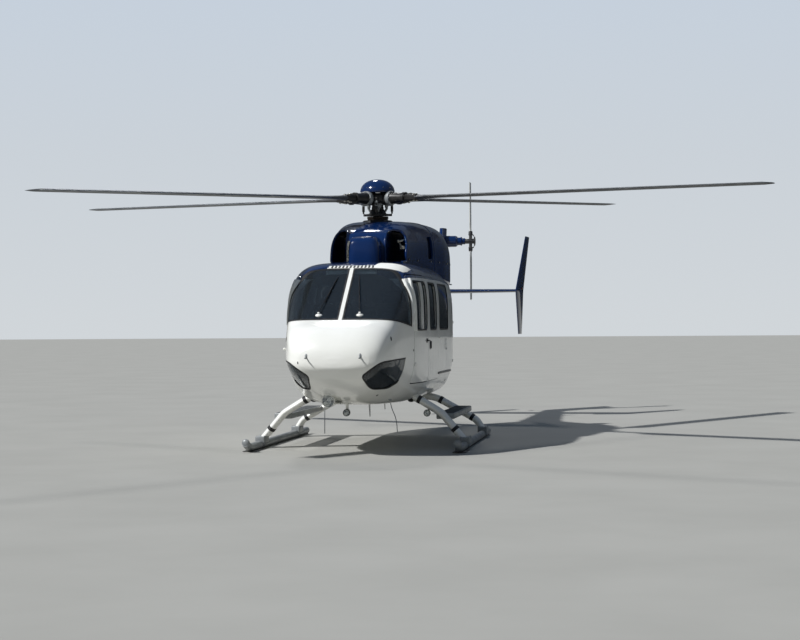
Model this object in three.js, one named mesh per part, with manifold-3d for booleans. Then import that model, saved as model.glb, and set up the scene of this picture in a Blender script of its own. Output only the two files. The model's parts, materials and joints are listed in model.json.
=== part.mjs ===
// A light twin-engine helicopter that parks on skids: a blunt cabin pod with a raked windscreen, hinged
// crew doors, sliding cabin doors and two clamshell doors at the rear, a deck of two engines under a blue
// cowling, a hingeless four-blade main rotor, and a tailboom with tailplane, fin and two-blade tail rotor.
//
// Millimetres, +Z up, nose towards -Y, the aircraft's left (port) side towards +X. Inside the group a
// station is the distance aft of the rotor mast, and height is above the ground the skids stand on.
import * as THREE from "three";
import { mergeVertices } from "three/addons/utils/BufferGeometryUtils.js";
import Module from "manifold-3d";

const wasm = await Module();
wasm.setup();

// Driving dimensions.
const ROTOR_RADIUS = 5500;
const BLADE_CHORD = 320;
const HUB_HEIGHT = 3110;
const MAST_TILT = THREE.MathUtils.degToRad(2.5);
const FIRST_BLADE = THREE.MathUtils.degToRad(-30);
const BLADES = 4;
const TAIL_ROTOR_RADIUS = 978;
const TAIL_ROTOR = { x: 465, station: 6520, z: 2870 };
const SKID_TRACK_HALF = 1250;
const SKID_RADIUS = 46;
const SKID_FRONT = -1960;
const SKID_REAR = 1400;
const CROSS_TUBES = { front: -1190, rear: 820 };
const WALL = 45;
const FLOOR = 780;
const ORIGIN_STATION = 1060; // the frame's origin, midway between the front blade's tip and the fin
const TAIL_END = 6919;
const GAP = 0.4; // between pieces that touch
const DOOR_GAP = 11; // round a door that swings
const PANEL_GAP = 4; // round a door that is fixed here
const FAR = 4000;

// The pod's sections, from the nose tip to the root of the tailboom. Between the widest point and the
// bottom or the top, a section is a superellipse of that exponent.
const POD = [
  // station, half width, height of the widest point, bottom, top, lower exponent, upper exponent
  [-3020, 250, 1100, 1020, 1180, 2.2, 2.2],
  [-2985, 400, 1108, 955, 1268, 2.4, 2.6],
  [-2900, 515, 1122, 880, 1388, 2.4, 3.2],
  [-2780, 575, 1142, 812, 1480, 2.4, 4.0],
  [-2630, 620, 1165, 745, 1545, 2.4, 4.8],
  [-2400, 660, 1198, 662, 1720, 2.4, 5.0],
  [-2150, 708, 1220, 602, 1912, 2.6, 5.0],
  [-1930, 745, 1230, 570, 2080, 3.0, 4.8],
  [-1830, 762, 1240, 560, 2158, 3.2, 4.8],
  [-1650, 778, 1240, 553, 2215, 3.6, 5.2],
  [-1300, 792, 1240, 550, 2245, 4.4, 5.4],
  [-800, 800, 1240, 550, 2258, 4.6, 5.4],
  [900, 800, 1240, 550, 2260, 4.4, 5.4],
  [1300, 790, 1260, 600, 2260, 4.0, 5.0],
  [1650, 755, 1340, 740, 2262, 3.6, 4.4],
  [2000, 680, 1480, 950, 2265, 3.2, 3.8],
  [2350, 560, 1680, 1250, 2272, 2.8, 3.0],
  [2680, 410, 1900, 1590, 2285, 2.4, 2.6],
  [2900, 270, 2052, 1815, 2290, 2.0, 2.0],
];

// The upper cowling's sections. Its lower part lies inside the pod and is cut away by it.
const COWL = [
  // station, half width, widest point, bottom, top, lower exponent, upper exponent
  [-930, 385, 2150, 1950, 2500, 3.0, 3.6],
  [-905, 420, 2150, 1950, 2560, 3.0, 3.8],
  [-840, 448, 2150, 1950, 2625, 3.0, 4.0],
  [-650, 480, 2150, 1950, 2705, 3.0, 4.2],
  [-420, 502, 2150, 1950, 2765, 3.0, 4.4],
  [-180, 534, 2150, 1950, 2800, 3.0, 4.4],
  [150, 592, 2150, 1940, 2822, 3.0, 4.6],
  [520, 662, 2140, 1910, 2832, 3.0, 4.8],
  [1000, 748, 2120, 1880, 2815, 3.0, 5.2],
  [1400, 752, 2120, 1880, 2740, 3.0, 5.0],
  [1800, 680, 2130, 1900, 2625, 3.0, 4.4],
  [2200, 510, 2140, 1960, 2490, 3.0, 3.8],
  [2500, 350, 2150, 2000, 2390, 3.0, 3.0],
  [2750, 235, 2150, 2020, 2310, 3.0, 2.6],
];

// The fairing in the middle of the cowling's front, between the air intakes, in the same columns.
const NOSE_FAIRING = [
  [-1345, 140, 2150, 1950, 2440, 3.0, 4.0],
  [-1315, 185, 2150, 1950, 2520, 3.0, 4.4],
  [-1240, 203, 2150, 1950, 2560, 3.0, 4.8],
  [-1000, 210, 2150, 1950, 2582, 3.0, 5.0],
  [-700, 215, 2150, 1950, 2600, 3.0, 5.0],
];

const PAINT = {
  white: { color: 0xf2f2ec, roughness: 0.3, metalness: 0.0 },
  blue: { color: 0x101c45, roughness: 0.25, metalness: 0.1 },
  blade: { color: 0x4a4d50, roughness: 0.55, metalness: 0.1 },
  titanium: { color: 0x8d8f92, roughness: 0.4, metalness: 0.9 },
  dark: { color: 0x1b1c1e, roughness: 0.5, metalness: 0.4 },
  steel: { color: 0x6f665c, roughness: 0.45, metalness: 1.0 },
  glass: { color: 0x26303c, roughness: 0.05, metalness: 0.0 },
  grey: { color: 0x9b9d98, roughness: 0.5, metalness: 0.1 },
  trim: { color: 0x232427, roughness: 0.7, metalness: 0.0 },
  fabric: { color: 0x2c3138, roughness: 0.9, metalness: 0.0 },
};

const group = new THREE.Group();
group.position.y = -ORIGIN_STATION;

function material(paint) {
  return new THREE.MeshStandardMaterial({ ...PAINT[paint], side: THREE.FrontSide });
}

// A closed geometry as a solid that can be cut and joined.
function solid(geometry) {
  const g = geometry.clone();
  g.deleteAttribute("normal");
  g.deleteAttribute("uv");
  const merged = mergeVertices(g, 1e-3);
  return new wasm.Manifold(
    new wasm.Mesh({
      numProp: 3,
      vertProperties: new Float32Array(merged.attributes.position.array),
      triVerts: new Uint32Array(merged.index.array),
    }),
  );
}

function geometryOf(shape) {
  const mesh = shape.getMesh();
  const positions = new Float32Array(mesh.numVert * 3);
  for (let i = 0; i < mesh.numVert; i++) {
    positions.set(mesh.vertProperties.subarray(i * mesh.numProp, i * mesh.numProp + 3), i * 3);
  }
  const g = new THREE.BufferGeometry();
  g.setAttribute("position", new THREE.BufferAttribute(positions, 3));
  g.setIndex(new THREE.BufferAttribute(new Uint32Array(mesh.triVerts), 1));
  g.computeVertexNormals();
  return g;
}

// Adds one named piece to a parent. A piece made for the left side is mirrored for the right.
function add(name, shape, paint, { parent = group, mirror = false } = {}) {
  const mesh = new THREE.Mesh(geometryOf(shape), material(paint));
  mesh.name = name;
  if (mirror) mesh.scale.x = -1;
  parent.add(mesh);
  return mesh;
}

function addPair(name, shape, paint, parent = group) {
  add(`${name}_left`, shape, paint, { parent });
  add(`${name}_right`, shape, paint, { parent, mirror: true });
}

// A closed skin through rings of points that all have the same count.
function loft(rings) {
  const count = rings[0].length;
  const positions = rings.flat().flatMap((p) => [p.x, p.y, p.z]);
  const index = [];
  for (let r = 0; r + 1 < rings.length; r++) {
    for (let i = 0; i < count; i++) {
      const a = r * count + i;
      const b = r * count + ((i + 1) % count);
      index.push(a, b, b + count, a, b + count, a + count);
    }
  }
  for (const [first, flip] of [[0, true], [(rings.length - 1) * count, false]]) {
    const centre = positions.length / 3;
    const mid = new THREE.Vector3();
    for (let i = 0; i < count; i++) mid.add(rings[first / count][i]);
    mid.divideScalar(count);
    positions.push(mid.x, mid.y, mid.z);
    for (let i = 0; i < count; i++) {
      const a = first + i;
      const b = first + ((i + 1) % count);
      index.push(...(flip ? [centre, b, a] : [centre, a, b]));
    }
  }
  const g = new THREE.BufferGeometry();
  g.setAttribute("position", new THREE.Float32BufferAttribute(positions, 3));
  g.setIndex(index);
  const made = solid(g);
  if (made.volume() > 0) return made;
  g.setIndex(index.map((_, i) => index[i - (i % 3) + 2 - (i % 3)]));
  return solid(g);
}

// A table's row at any station, linear between its rows.
function rowAt(table, station) {
  const next = Math.max(1, table.findIndex((row) => row[0] >= station));
  const [a, b] = [table[next - 1], table[next]];
  const share = (station - a[0]) / (b[0] - a[0]);
  return a.map((value, i) => value + (b[i] - value) * share);
}

const RING = 24;
function superellipse([station, half, widest, bottom, top, low, high]) {
  return Array.from({ length: RING }, (_, i) => {
    const turn = (i / RING) * 2 * Math.PI;
    const [c, s] = [Math.cos(turn), Math.sin(turn)];
    const power = 2 / (s >= 0 ? high : low);
    const rise = s >= 0 ? top - widest : widest - bottom;
    return new THREE.Vector3(
      half * Math.sign(c) * Math.abs(c) ** power,
      station,
      widest + rise * Math.sign(s) * Math.abs(s) ** power,
    );
  });
}

// A body through a table's sections between two stations, drawn in by inset.
function tableBody(table, from, to, inset) {
  const inner = table.map((row) => row[0]).filter((s) => s > from + 1 && s < to - 1);
  const rings = [from, ...inner, to].map((s) => {
    const [, half, widest, bottom, top, low, high] = rowAt(table, s);
    return superellipse([s, half - inset, widest, bottom + inset, top - inset, low, high]);
  });
  return loft(rings);
}

function box(x0, x1, y0, y1, z0, z1) {
  const g = new THREE.BoxGeometry(x1 - x0, y1 - y0, z1 - z0);
  return solid(g.translate((x0 + x1) / 2, (y0 + y1) / 2, (z0 + z1) / 2));
}

// A flat outline with its corners rounded.
function outline(points, radius) {
  const shape = new THREE.Shape();
  const at = (i) => new THREE.Vector2(...points[(i + points.length) % points.length]);
  points.forEach((_, i) => {
    const [before, here, after] = [at(i - 1), at(i), at(i + 1)];
    const reach = Math.min(radius, here.distanceTo(before) / 2.01, here.distanceTo(after) / 2.01);
    const start = here.clone().add(before.sub(here).setLength(reach));
    const end = here.clone().add(after.sub(here).setLength(reach));
    if (i === 0) shape.moveTo(start.x, start.y);
    else shape.lineTo(start.x, start.y);
    shape.quadraticCurveTo(here.x, here.y, end.x, end.y);
  });
  shape.closePath();
  return shape;
}

const CURVE_SEGMENTS = 3;
// A side-view outline of (station, height) run through from x0 to x1.
function sidePrism(points, radius, x0, x1) {
  const g = new THREE.ExtrudeGeometry(outline(points, radius), {
    depth: x1 - x0, bevelEnabled: false, curveSegments: CURVE_SEGMENTS,
  });
  const axes = new THREE.Matrix4().set(0, 0, 1, x0, 1, 0, 0, 0, 0, 1, 0, 0, 0, 0, 0, 1);
  return solid(g.applyMatrix4(axes));
}

// A front-view outline of (x, height) run through from station y0 back to y1.
function frontPrism(points, radius, y0, y1) {
  const g = new THREE.ExtrudeGeometry(outline(points, radius), {
    depth: y1 - y0, bevelEnabled: false, curveSegments: CURVE_SEGMENTS,
  });
  const axes = new THREE.Matrix4().set(1, 0, 0, 0, 0, 0, -1, y1, 0, 1, 0, 0, 0, 0, 0, 1);
  return solid(g.applyMatrix4(axes));
}

// A round bar between two points.
function bar(from, to, radius, { end = radius, sides = 16 } = {}) {
  const [a, b] = [new THREE.Vector3(...from), new THREE.Vector3(...to)];
  const g = new THREE.CylinderGeometry(end, radius, a.distanceTo(b), sides);
  g.applyQuaternion(
    new THREE.Quaternion().setFromUnitVectors(new THREE.Vector3(0, 1, 0), b.clone().sub(a).normalize()),
  );
  const middle = a.clone().add(b).multiplyScalar(0.5);
  return solid(g.translate(middle.x, middle.y, middle.z));
}

// A round tube along a curve.
function tube(curve, radius, steps) {
  const section = new THREE.Shape().absarc(0, 0, radius, 0, 2 * Math.PI, false);
  return solid(new THREE.ExtrudeGeometry(section, {
    steps, extrudePath: curve, bevelEnabled: false, curveSegments: 5,
  }));
}

function turned(profile, sides) {
  const points = profile.map(([r, z]) => new THREE.Vector2(r, z));
  return solid(new THREE.LatheGeometry(points, sides).rotateX(Math.PI / 2));
}

// A lifting surface through flat sections: each has its place along the span, where its leading and
// trailing edges are, and its thickness. "along" says which way the span runs.
const AEROFOIL_STEPS = 6;
function surface(sections, along, { x = 0, z = 0, place = new THREE.Matrix4() } = {}) {
  const rings = sections.map(([span, lead, trail, thickness]) => {
    const chord = trail - lead;
    const side = (share) => {
      const thick = 2.6 * Math.sqrt(share) * (1 - share) + 0.12 * share;
      return { at: lead + chord * share, half: (thickness / 2) * thick };
    };
    const shares = Array.from({ length: AEROFOIL_STEPS + 1 }, (_, i) => (i / AEROFOIL_STEPS) ** 1.5);
    const upper = shares.slice(1).map((share) => side(share));
    const ring = [{ at: lead, half: 0 }, ...upper, ...upper.slice().reverse().map((p) => ({ at: p.at, half: -p.half }))];
    return ring.map((p) => {
      if (along === "z") return new THREE.Vector3(x + p.half, p.at, span).applyMatrix4(place);
      if (along === "x") return new THREE.Vector3(span, p.at, z + p.half).applyMatrix4(place);
      return new THREE.Vector3(span, -p.at, z + p.half);
    });
  });
  return loft(rings);
}

// The pod and what is cut from it.
const podOuter = tableBody(POD, POD[0][0], POD.at(-1)[0], 0);
const podOver = tableBody(POD, POD[0][0], POD.at(-1)[0], -GAP);
const podSpace = tableBody(POD, -2930, -2040, WALL)
  .add(tableBody(POD, -2050, 1340, WALL).intersect(box(-FAR, FAR, -FAR, FAR, FLOOR, FAR)))
  .add(tableBody(POD, 1330, 2860, WALL));
const podWall = podOuter.subtract(podSpace);
const GLASS = { out: 4, in: 14 };
const glassSkin = tableBody(POD, -3000, 2880, GLASS.out).subtract(tableBody(POD, -2990, 2870, GLASS.in));
const trimSkin = podOuter.subtract(tableBody(POD, -2990, 2870, 16));
const doorGlassSkin = tableBody(POD, -3000, 2880, 18).subtract(tableBody(POD, -2990, 2870, 28));

// Side-view outlines of what opens or is glazed, in station and height.
const NOSE_BACK = -1990;
const SILL_LINE = [[-2900, 1578], [NOSE_BACK, 1455]]; // the windscreen's lower edge
const CREW_DOOR = [[-1918, 812], [-1918, 1965], [-1842, 2075], [-1075, 2075], [-1075, 812]];
const CREW_WINDOW = [[-1850, 1430], [-1850, 1930], [-1795, 2005], [-1165, 2005], [-1165, 1430]];
const CREW_WINDOW_BAR = [[-1515, 1400], [-1515, 2040], [-1405, 2040], [-1405, 1400]];
const SLIDING_DOOR = [[-1055, 812], [-1055, 2075], [-200, 2075], [-200, 812]];
const SLIDING_WINDOW = [[-960, 1430], [-960, 2005], [-345, 2005], [-345, 1430]];
const REAR_WINDOW = [[-85, 1430], [-85, 2005], [790, 2005], [790, 1430]];
const CORNER = { door: 60, window: 70 };
const CLAMSHELL = { front: 1390, top: 1795 };
const CREW_DOOR_HINGE = { x: 779, station: -1924 };
const CLAMSHELL_HINGE = { x: 796, station: 1384 };

// An outline drawn out or in about its middle by a distance.
function grown(points, distance) {
  const xs = points.map((p) => p[0]);
  const ys = points.map((p) => p[1]);
  const middle = [(Math.min(...xs) + Math.max(...xs)) / 2, (Math.min(...ys) + Math.max(...ys)) / 2];
  return points.map(([x, y]) => [x + Math.sign(x - middle[0]) * distance, y + Math.sign(y - middle[1]) * distance]);
}

const bothSides = (points, radius) =>
  sidePrism(points, radius, 250, 1200).add(sidePrism(points, radius, -1200, -250));
const leftSide = (points, radius) => sidePrism(points, radius, 250, 1200);

// Windscreen panes lie ahead of the side pillar, above the sill line and below the roof's front edge.
const WINDSCREEN_EDGE = [[-2015, 1470], [-2005, 1900], [-1950, 2040], [-1838, 2128]];
const CENTRE_POST = 32;
const PANE_MARGIN = 22;
const aboveSill = (drop) => [
  [SILL_LINE[0][0], SILL_LINE[0][1] + PANE_MARGIN - drop],
  [SILL_LINE[1][0] - 25, SILL_LINE[1][1] + PANE_MARGIN - drop],
  ...WINDSCREEN_EDGE.slice(1).map(([s, z]) => [s + drop, z]),
  [WINDSCREEN_EDGE.at(-1)[0] + drop, 2600],
  [SILL_LINE[0][0], 2600],
];
const screenHole = sidePrism(aboveSill(0), 12, CENTRE_POST, 1200);
const screenHoles = screenHole.add(sidePrism(aboveSill(0), 12, -1200, -CENTRE_POST));
const paneHole = sidePrism(aboveSill(-GAP), 12, CENTRE_POST + GAP, 1200);

const CHIN = [[300, 925], [520, 1078], [742, 1120], [750, 985], [612, 850], [490, 768], [345, 768]];
const CHIN_REACH = [-3100, -2230];
const chinHole = frontPrism(CHIN, 40, ...CHIN_REACH);
const chinHoles = chinHole.add(frontPrism(CHIN.map(([x, z]) => [-x, z]).reverse(), 40, ...CHIN_REACH));
const chinPaneHole = frontPrism(grown(CHIN, -GAP), 40, CHIN_REACH[0], CHIN_REACH[1] - GAP);

const noseRegion = sidePrism(
  [[-3300, 300], [-3300, 1632], [SILL_LINE[1][0] - GAP, SILL_LINE[1][1] - GAP], [NOSE_BACK - GAP, 300]],
  0.1, -1200, 1200,
);
const noseCut = sidePrism(
  [[-3300, 300], [-3300, 1632 + GAP], [SILL_LINE[1][0], SILL_LINE[1][1]], [NOSE_BACK, 300]],
  0.1, -1200, 1200,
);
const hullRegion = (bottom, top) => box(-FAR, FAR, -FAR, CLAMSHELL.front - DOOR_GAP + 3, bottom, top);
const clamRegion = box(-1200, 1200, CLAMSHELL.front, FAR, 0, CLAMSHELL.top);
const clamCut = box(-1200, 1200, CLAMSHELL.front - DOOR_GAP + 3, FAR, 0, CLAMSHELL.top + DOOR_GAP - 1);

// The pillars inside the seams between the crew doors and the sliding doors.
const PILLAR = { from: -1105, to: -1010, outside: 52, inside: 85 };
const pillars = tableBody(POD, PILLAR.from, PILLAR.to, PILLAR.outside)
  .subtract(tableBody(POD, PILLAR.from - 1, PILLAR.to + 1, PILLAR.inside))
  .intersect(box(-FAR, FAR, -FAR, FAR, FLOOR - 5, FAR))
  .add(tableBody(POD, PILLAR.from, PILLAR.to, 10).intersect(box(-300, 300, -FAR, FAR, 2150, FAR)).subtract(
    tableBody(POD, PILLAR.from - 1, PILLAR.to + 1, PILLAR.inside)));

// A cross tube in its fairing: it runs through or under the belly and slopes down to the skids.
const LEG = {
  front: [[0, 640], [580, 632], [690, 598], [965, 430], [1252, 90]],
  rear: [[0, 545], [560, 540], [670, 510], [1165, 235], [1258, 90]],
};
const LEG_HALF = { thick: 45, chord: 92 };
const SADDLE_TOP = 150;
function crossTube(end, grow) {
  const half = LEG[end].map(([x, z]) => new THREE.Vector2(x, z));
  const line = [...half.slice(1).reverse().map((p) => new THREE.Vector2(-p.x, p.y)), ...half];
  const rings = line.map((p, i) => {
    const before = line[Math.max(0, i - 1)];
    const after = line[Math.min(line.length - 1, i + 1)];
    const run = after.clone().sub(before).normalize();
    return Array.from({ length: 14 }, (_, k) => {
      const turn = (k / 14) * 2 * Math.PI;
      const off = (LEG_HALF.thick + grow) * Math.sin(turn);
      return new THREE.Vector3(
        p.x - run.y * off,
        CROSS_TUBES[end] + (LEG_HALF.chord + grow) * Math.cos(turn),
        p.y + run.x * off,
      );
    });
  });
  return loft(rings).subtract(box(-FAR, FAR, -FAR, FAR, -FAR, SADDLE_TOP - grow + GAP));
}
const tubeFront = crossTube("front", 0);
const tubeRear = crossTube("rear", 0);
const tubesGrown = crossTube("front", 1).add(crossTube("rear", 1));

const SEAT_RAIL = { x: 300, half: 20, height: 8, from: -1000, to: 260 };

function buildPod() {
  const nose = podWall.intersect(noseRegion).subtract(chinHoles);
  add("nose_shell", nose, "white");
  const behind = podWall
    .subtract(noseCut)
    .subtract(screenHoles)
    .subtract(bothSides(grown(CREW_DOOR, DOOR_GAP), CORNER.door + DOOR_GAP))
    .subtract(bothSides(grown(SLIDING_DOOR, PANEL_GAP), CORNER.door + PANEL_GAP))
    .subtract(bothSides(REAR_WINDOW, CORNER.window))
    .subtract(clamCut);
  const { x, half, height, from, to } = SEAT_RAIL;
  const belly = behind
    .intersect(hullRegion(0, FLOOR))
    .subtract(tubesGrown)
    .add(box(x - half, x + half, from, to, FLOOR - 5, FLOOR + height))
    .add(box(-x - half, -x + half, from, to, FLOOR - 5, FLOOR + height));
  add("floor_and_belly", belly, "white");
  add("cabin_frame", behind.add(pillars).intersect(hullRegion(FLOOR + GAP, FAR)), "white");
  const rear = behind.intersect(box(-FAR, FAR, CLAMSHELL.front - DOOR_GAP + 3 + GAP, FAR, 0, FAR));
  add("rear_roof", rear, "white");
  addPair("windscreen", glassSkin.intersect(paneHole).subtract(noseCut), "glass");
  addPair("chin_window", glassSkin.intersect(chinPaneHole), "glass");
  addPair("cabin_window", glassSkin.intersect(leftSide(grown(REAR_WINDOW, -GAP), CORNER.window)), "glass");
}

function buildDoors() {
  const crewDoor = podWall
    .intersect(leftSide(CREW_DOOR, CORNER.door))
    .subtract(leftSide(CREW_WINDOW, CORNER.window))
    .add(trimSkin.intersect(leftSide(CREW_WINDOW_BAR, 1)));
  addPair("crew_door", crewDoor, "white");
  addPair("crew_door_glass", doorGlassSkin.intersect(leftSide(grown(CREW_WINDOW, -GAP), CORNER.window)), "glass");
  const slidingDoor = podWall
    .intersect(leftSide(SLIDING_DOOR, CORNER.door))
    .subtract(leftSide(SLIDING_WINDOW, CORNER.window));
  addPair("sliding_door", slidingDoor, "white");
  addPair(
    "sliding_door_glass",
    doorGlassSkin.intersect(leftSide(grown(SLIDING_WINDOW, -GAP), CORNER.window)),
    "glass",
  );
  const clamshell = podWall.intersect(clamRegion).intersect(box(5, 1200, 0, FAR, 0, FAR));
  addPair("clamshell_door", clamshell, "white");
}

// The deck above the cabin: cowlings with their intakes, two engines, the gearbox and the exhausts.
const COWL_SPLIT = 520;
const COWL_WALL = 30;
const DUCT = { inner: 245, outer: 490, bottom: 2262, top: 2575, back: -80 };
const BAY = { half: 222, front: -400, bulkhead: -50 }; // the hollow round the gearbox
const SIDE_INLET = [[270, 2340], [270, 2620], [460, 2640], [460, 2340]];
const MAST_HOLE = 170;
const EXHAUST = { from: [390, 1560, 2440], to: [530, 2150, 2530], radius: 115, wall: 8 };

function cowling() {
  const hollow = tableBody(COWL, BAY.front, 2650, COWL_WALL)
    .subtract(box(BAY.half, FAR, -FAR, BAY.bulkhead, 0, FAR))
    .subtract(box(-FAR, -BAY.half, -FAR, BAY.bulkhead, 0, FAR));
  const duct = [
    [DUCT.inner, DUCT.bottom], [DUCT.inner, DUCT.top], [DUCT.outer, DUCT.top], [DUCT.outer, DUCT.bottom],
  ];
  return tableBody(COWL, COWL[0][0], COWL.at(-1)[0], 0)
    .subtract(frontPrism(duct, 30, -2000, DUCT.back))
    .subtract(frontPrism(duct.map(([x, z]) => [-x, z]).reverse(), 30, -2000, DUCT.back))
    .add(tableBody(NOSE_FAIRING, NOSE_FAIRING[0][0], NOSE_FAIRING.at(-1)[0], 0))
    .subtract(hollow)
    .subtract(podOver)
    .subtract(bothSides(SIDE_INLET, 40))
    .subtract(bar([0, 0, 2500], [0, 0, 3000], MAST_HOLE, { sides: 24 }));
}

function buildDeck() {
  const skin = cowling();
  const through = EXHAUST.from.map((v, i) => v + (EXHAUST.to[i] - v) * 1.3);
  const exhaustHole = bar(EXHAUST.from, through, EXHAUST.radius + 8, { sides: 20 });
  const holes = exhaustHole.add(exhaustHole.mirror([1, 0, 0]));
  add("transmission_cowl", skin.intersect(box(-FAR, FAR, -FAR, COWL_SPLIT - 1, 0, FAR)), "blue");
  add("engine_cowl", skin.intersect(box(-FAR, FAR, COWL_SPLIT + 1, FAR, 0, FAR)).subtract(holes), "blue");
  addPair("engine", box(150, 460, 640, 1440, 2150, 2640).subtract(podOver).subtract(exhaustHole), "steel");
  add("main_gearbox", box(-210, 210, -290, 290, 2150, 2560).subtract(podOver), "steel");
  const bottom = EXHAUST.from.map((v, i) => v + (EXHAUST.to[i] - v) * 0.1);
  const beyond = EXHAUST.from.map((v, i) => v + (EXHAUST.to[i] - v) * 1.2);
  const pipe = bar(EXHAUST.from, EXHAUST.to, EXHAUST.radius, { sides: 20 })
    .subtract(bar(bottom, beyond, EXHAUST.radius - EXHAUST.wall, { sides: 20 }));
  addPair("exhaust", pipe, "steel");
}

// The tailboom, an ellipse that narrows to the fin, and the surfaces it carries.
const BOOM = [
  // station, half width, height of the axis, half height
  [2900 + GAP, 270, 2052, 237],
  [3300, 235, 2055, 222],
  [4600, 190, 2060, 185],
  [6080, 130, 2068, 145],
];
const TAILPLANE = [
  // x, leading edge, trailing edge, thickness; the tips are cut off at the endplates' middle planes
  [-1440, 5130, 5570, 46],
  [0, 5100, 5600, 70],
  [1440, 5130, 5570, 46],
];
const TAILPLANE_HEIGHT = 2015;
const ENDPLATE = [
  // height above the tailplane, leading edge and trailing edge from the plate's middle, thickness
  [-675, 60, 350, 30],
  [0, -310, 310, 52],
  [865, 280, 620, 30],
];
const ENDPLATE_AT = new THREE.Vector3(1372, 5340, 2015);
const ENDPLATE_TOE = THREE.MathUtils.degToRad(6); // both plates' leading edges point to the right
const ENDPLATE_CANT = THREE.MathUtils.degToRad(3); // and their tops lean outwards
const FIN = [
  // height, leading edge, trailing edge, thickness
  [1900, 5780, 6400, 110],
  [2120, 5640, 6520, 150],
  [3090, 6400, TAIL_END, 100],
];
const BUMPER = [[6180, 1990], [6260, 1720], [6400, 1600], [6560, 1620]];

function boomBody(grow) {
  const rings = BOOM.map(([station, half, axis, tall]) =>
    Array.from({ length: 24 }, (_, i) => {
      const turn = (i / 24) * 2 * Math.PI;
      return new THREE.Vector3(
        (half + grow) * Math.cos(turn), station, axis + (tall + grow) * Math.sin(turn),
      );
    }),
  );
  return loft(rings);
}

function endplatePlace(side) {
  const turn = new THREE.Euler(0, side * ENDPLATE_CANT, -ENDPLATE_TOE, "ZYX");
  const place = new THREE.Matrix4().makeRotationFromEuler(turn);
  return place.setPosition(side * ENDPLATE_AT.x, ENDPLATE_AT.y, ENDPLATE_AT.z);
}

function endplate(side, grow) {
  const sections = ENDPLATE.map(([span, lead, trail, thick]) => [
    span, lead - grow, trail + grow, thick + 2 * grow,
  ]);
  return surface(sections, "z", { place: endplatePlace(side) });
}

// An endplate with all that lies outside its middle plane.
function endplateCut(side) {
  const beyond = new THREE.BoxGeometry(400, 1000, 300).translate(side * 200, 0, 0);
  return endplate(side, GAP).add(solid(beyond.applyMatrix4(endplatePlace(side))));
}

function buildTail() {
  const tailplane = surface(TAILPLANE, "x", { z: TAILPLANE_HEIGHT });
  const slot = surface(
    TAILPLANE.map(([x, lead, trail, thick]) => [x, lead - 2, trail + 2, thick + 3]),
    "x",
    { z: TAILPLANE_HEIGHT },
  );
  add("tailboom", boomBody(0).subtract(slot), "blue");
  add("tailplane", tailplane.subtract(endplateCut(1)).subtract(endplateCut(-1)), "blue");
  add("endplate_left", endplate(1, 0), "blue");
  add("endplate_right", endplate(-1, 0), "blue");
  const gearboxHole = bar([-200, TAIL_ROTOR.station, TAIL_ROTOR.z], [600, TAIL_ROTOR.station, TAIL_ROTOR.z], 96, {
    sides: 20,
  });
  let fin = surface(FIN, "z");
  const bumperLine = new THREE.CatmullRomCurve3(BUMPER.map(([s, z]) => new THREE.Vector3(0, s, z)));
  fin = fin.add(tube(bumperLine, 17, 6));
  add("tail_fin", fin.subtract(boomBody(GAP)).subtract(gearboxHole), "blue");
  const gearbox = bar([-110, TAIL_ROTOR.station, TAIL_ROTOR.z], [250, TAIL_ROTOR.station, TAIL_ROTOR.z], 95, {
    sides: 20,
  }).add(bar([250, TAIL_ROTOR.station, TAIL_ROTOR.z], [372, TAIL_ROTOR.station, TAIL_ROTOR.z], 52, { sides: 16 }));
  add("tail_gearbox", gearbox, "blue");
}

// The skid gear: two tubes with shoes under them, the cross tubes and the boarding steps.
const SADDLE = { half: 62, length: 250 };
const SHOE = { half: 80, thickness: 8, from: -1860, to: -1400 };
const STEP = { inner: 890, outer: 1110, bottom: 352, top: 422, from: -1130, to: 740 };
const SKID_AXIS = SHOE.thickness + SKID_RADIUS - 2;

function buildGear() {
  const x = SKID_TRACK_HALF;
  const bend = new THREE.QuadraticBezierCurve3(
    new THREE.Vector3(x, SKID_FRONT - 45, SKID_AXIS + 150),
    new THREE.Vector3(x, SKID_FRONT + 25, SKID_AXIS + 15),
    new THREE.Vector3(x, SKID_FRONT + 190, SKID_AXIS),
  );
  let skid = tube(bend, SKID_RADIUS, 5)
    .add(bar([x, SKID_FRONT + 188, SKID_AXIS], [x, SKID_REAR, SKID_AXIS], SKID_RADIUS, { sides: 12 }));
  skid = skid.add(box(x - SHOE.half, x + SHOE.half, SHOE.from, SHOE.to, 0, SHOE.thickness));
  skid = skid.add(box(x - 30, x + 30, SHOE.to - 10, SKID_REAR - 20, 0, SHOE.thickness + 6));
  for (const station of Object.values(CROSS_TUBES)) {
    const half = SADDLE.length / 2;
    skid = skid.add(
      box(x - SADDLE.half, x + SADDLE.half, station - half, station + half, SKID_AXIS - 20, SADDLE_TOP),
    );
  }
  addPair("skid", skid, "grey");
  add("cross_tube_front", tubeFront, "white");
  add("cross_tube_rear", tubeRear, "white");
  const board = box(STEP.inner, STEP.outer, STEP.from, STEP.to, STEP.bottom, STEP.top);
  addPair("boarding_step", board.subtract(tubesGrown), "grey");
}

// What shows through the glass, and the two lamps under the nose.
const SEAT = [
  [-1760, 1050], [-1760, 1165], [-1310, 1150], [-1215, 1830], [-1130, 1930], [-1060, 1900], [-1180, 1050],
  [-1250, 1010], [-1300, FLOOR + 1], [-1650, FLOOR + 1], [-1640, 1010],
];
const BENCH = SEAT.map(([s, z]) => [s + 2080, z]);
const PANEL = [
  [-2380, 1120], [-2420, 1380], [-2300, 1470], [-2090, 1440], [-2110, 1180], [-1990, 1000], [-1800, 960],
  [-1800, 860], [-2200, 860],
];

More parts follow.
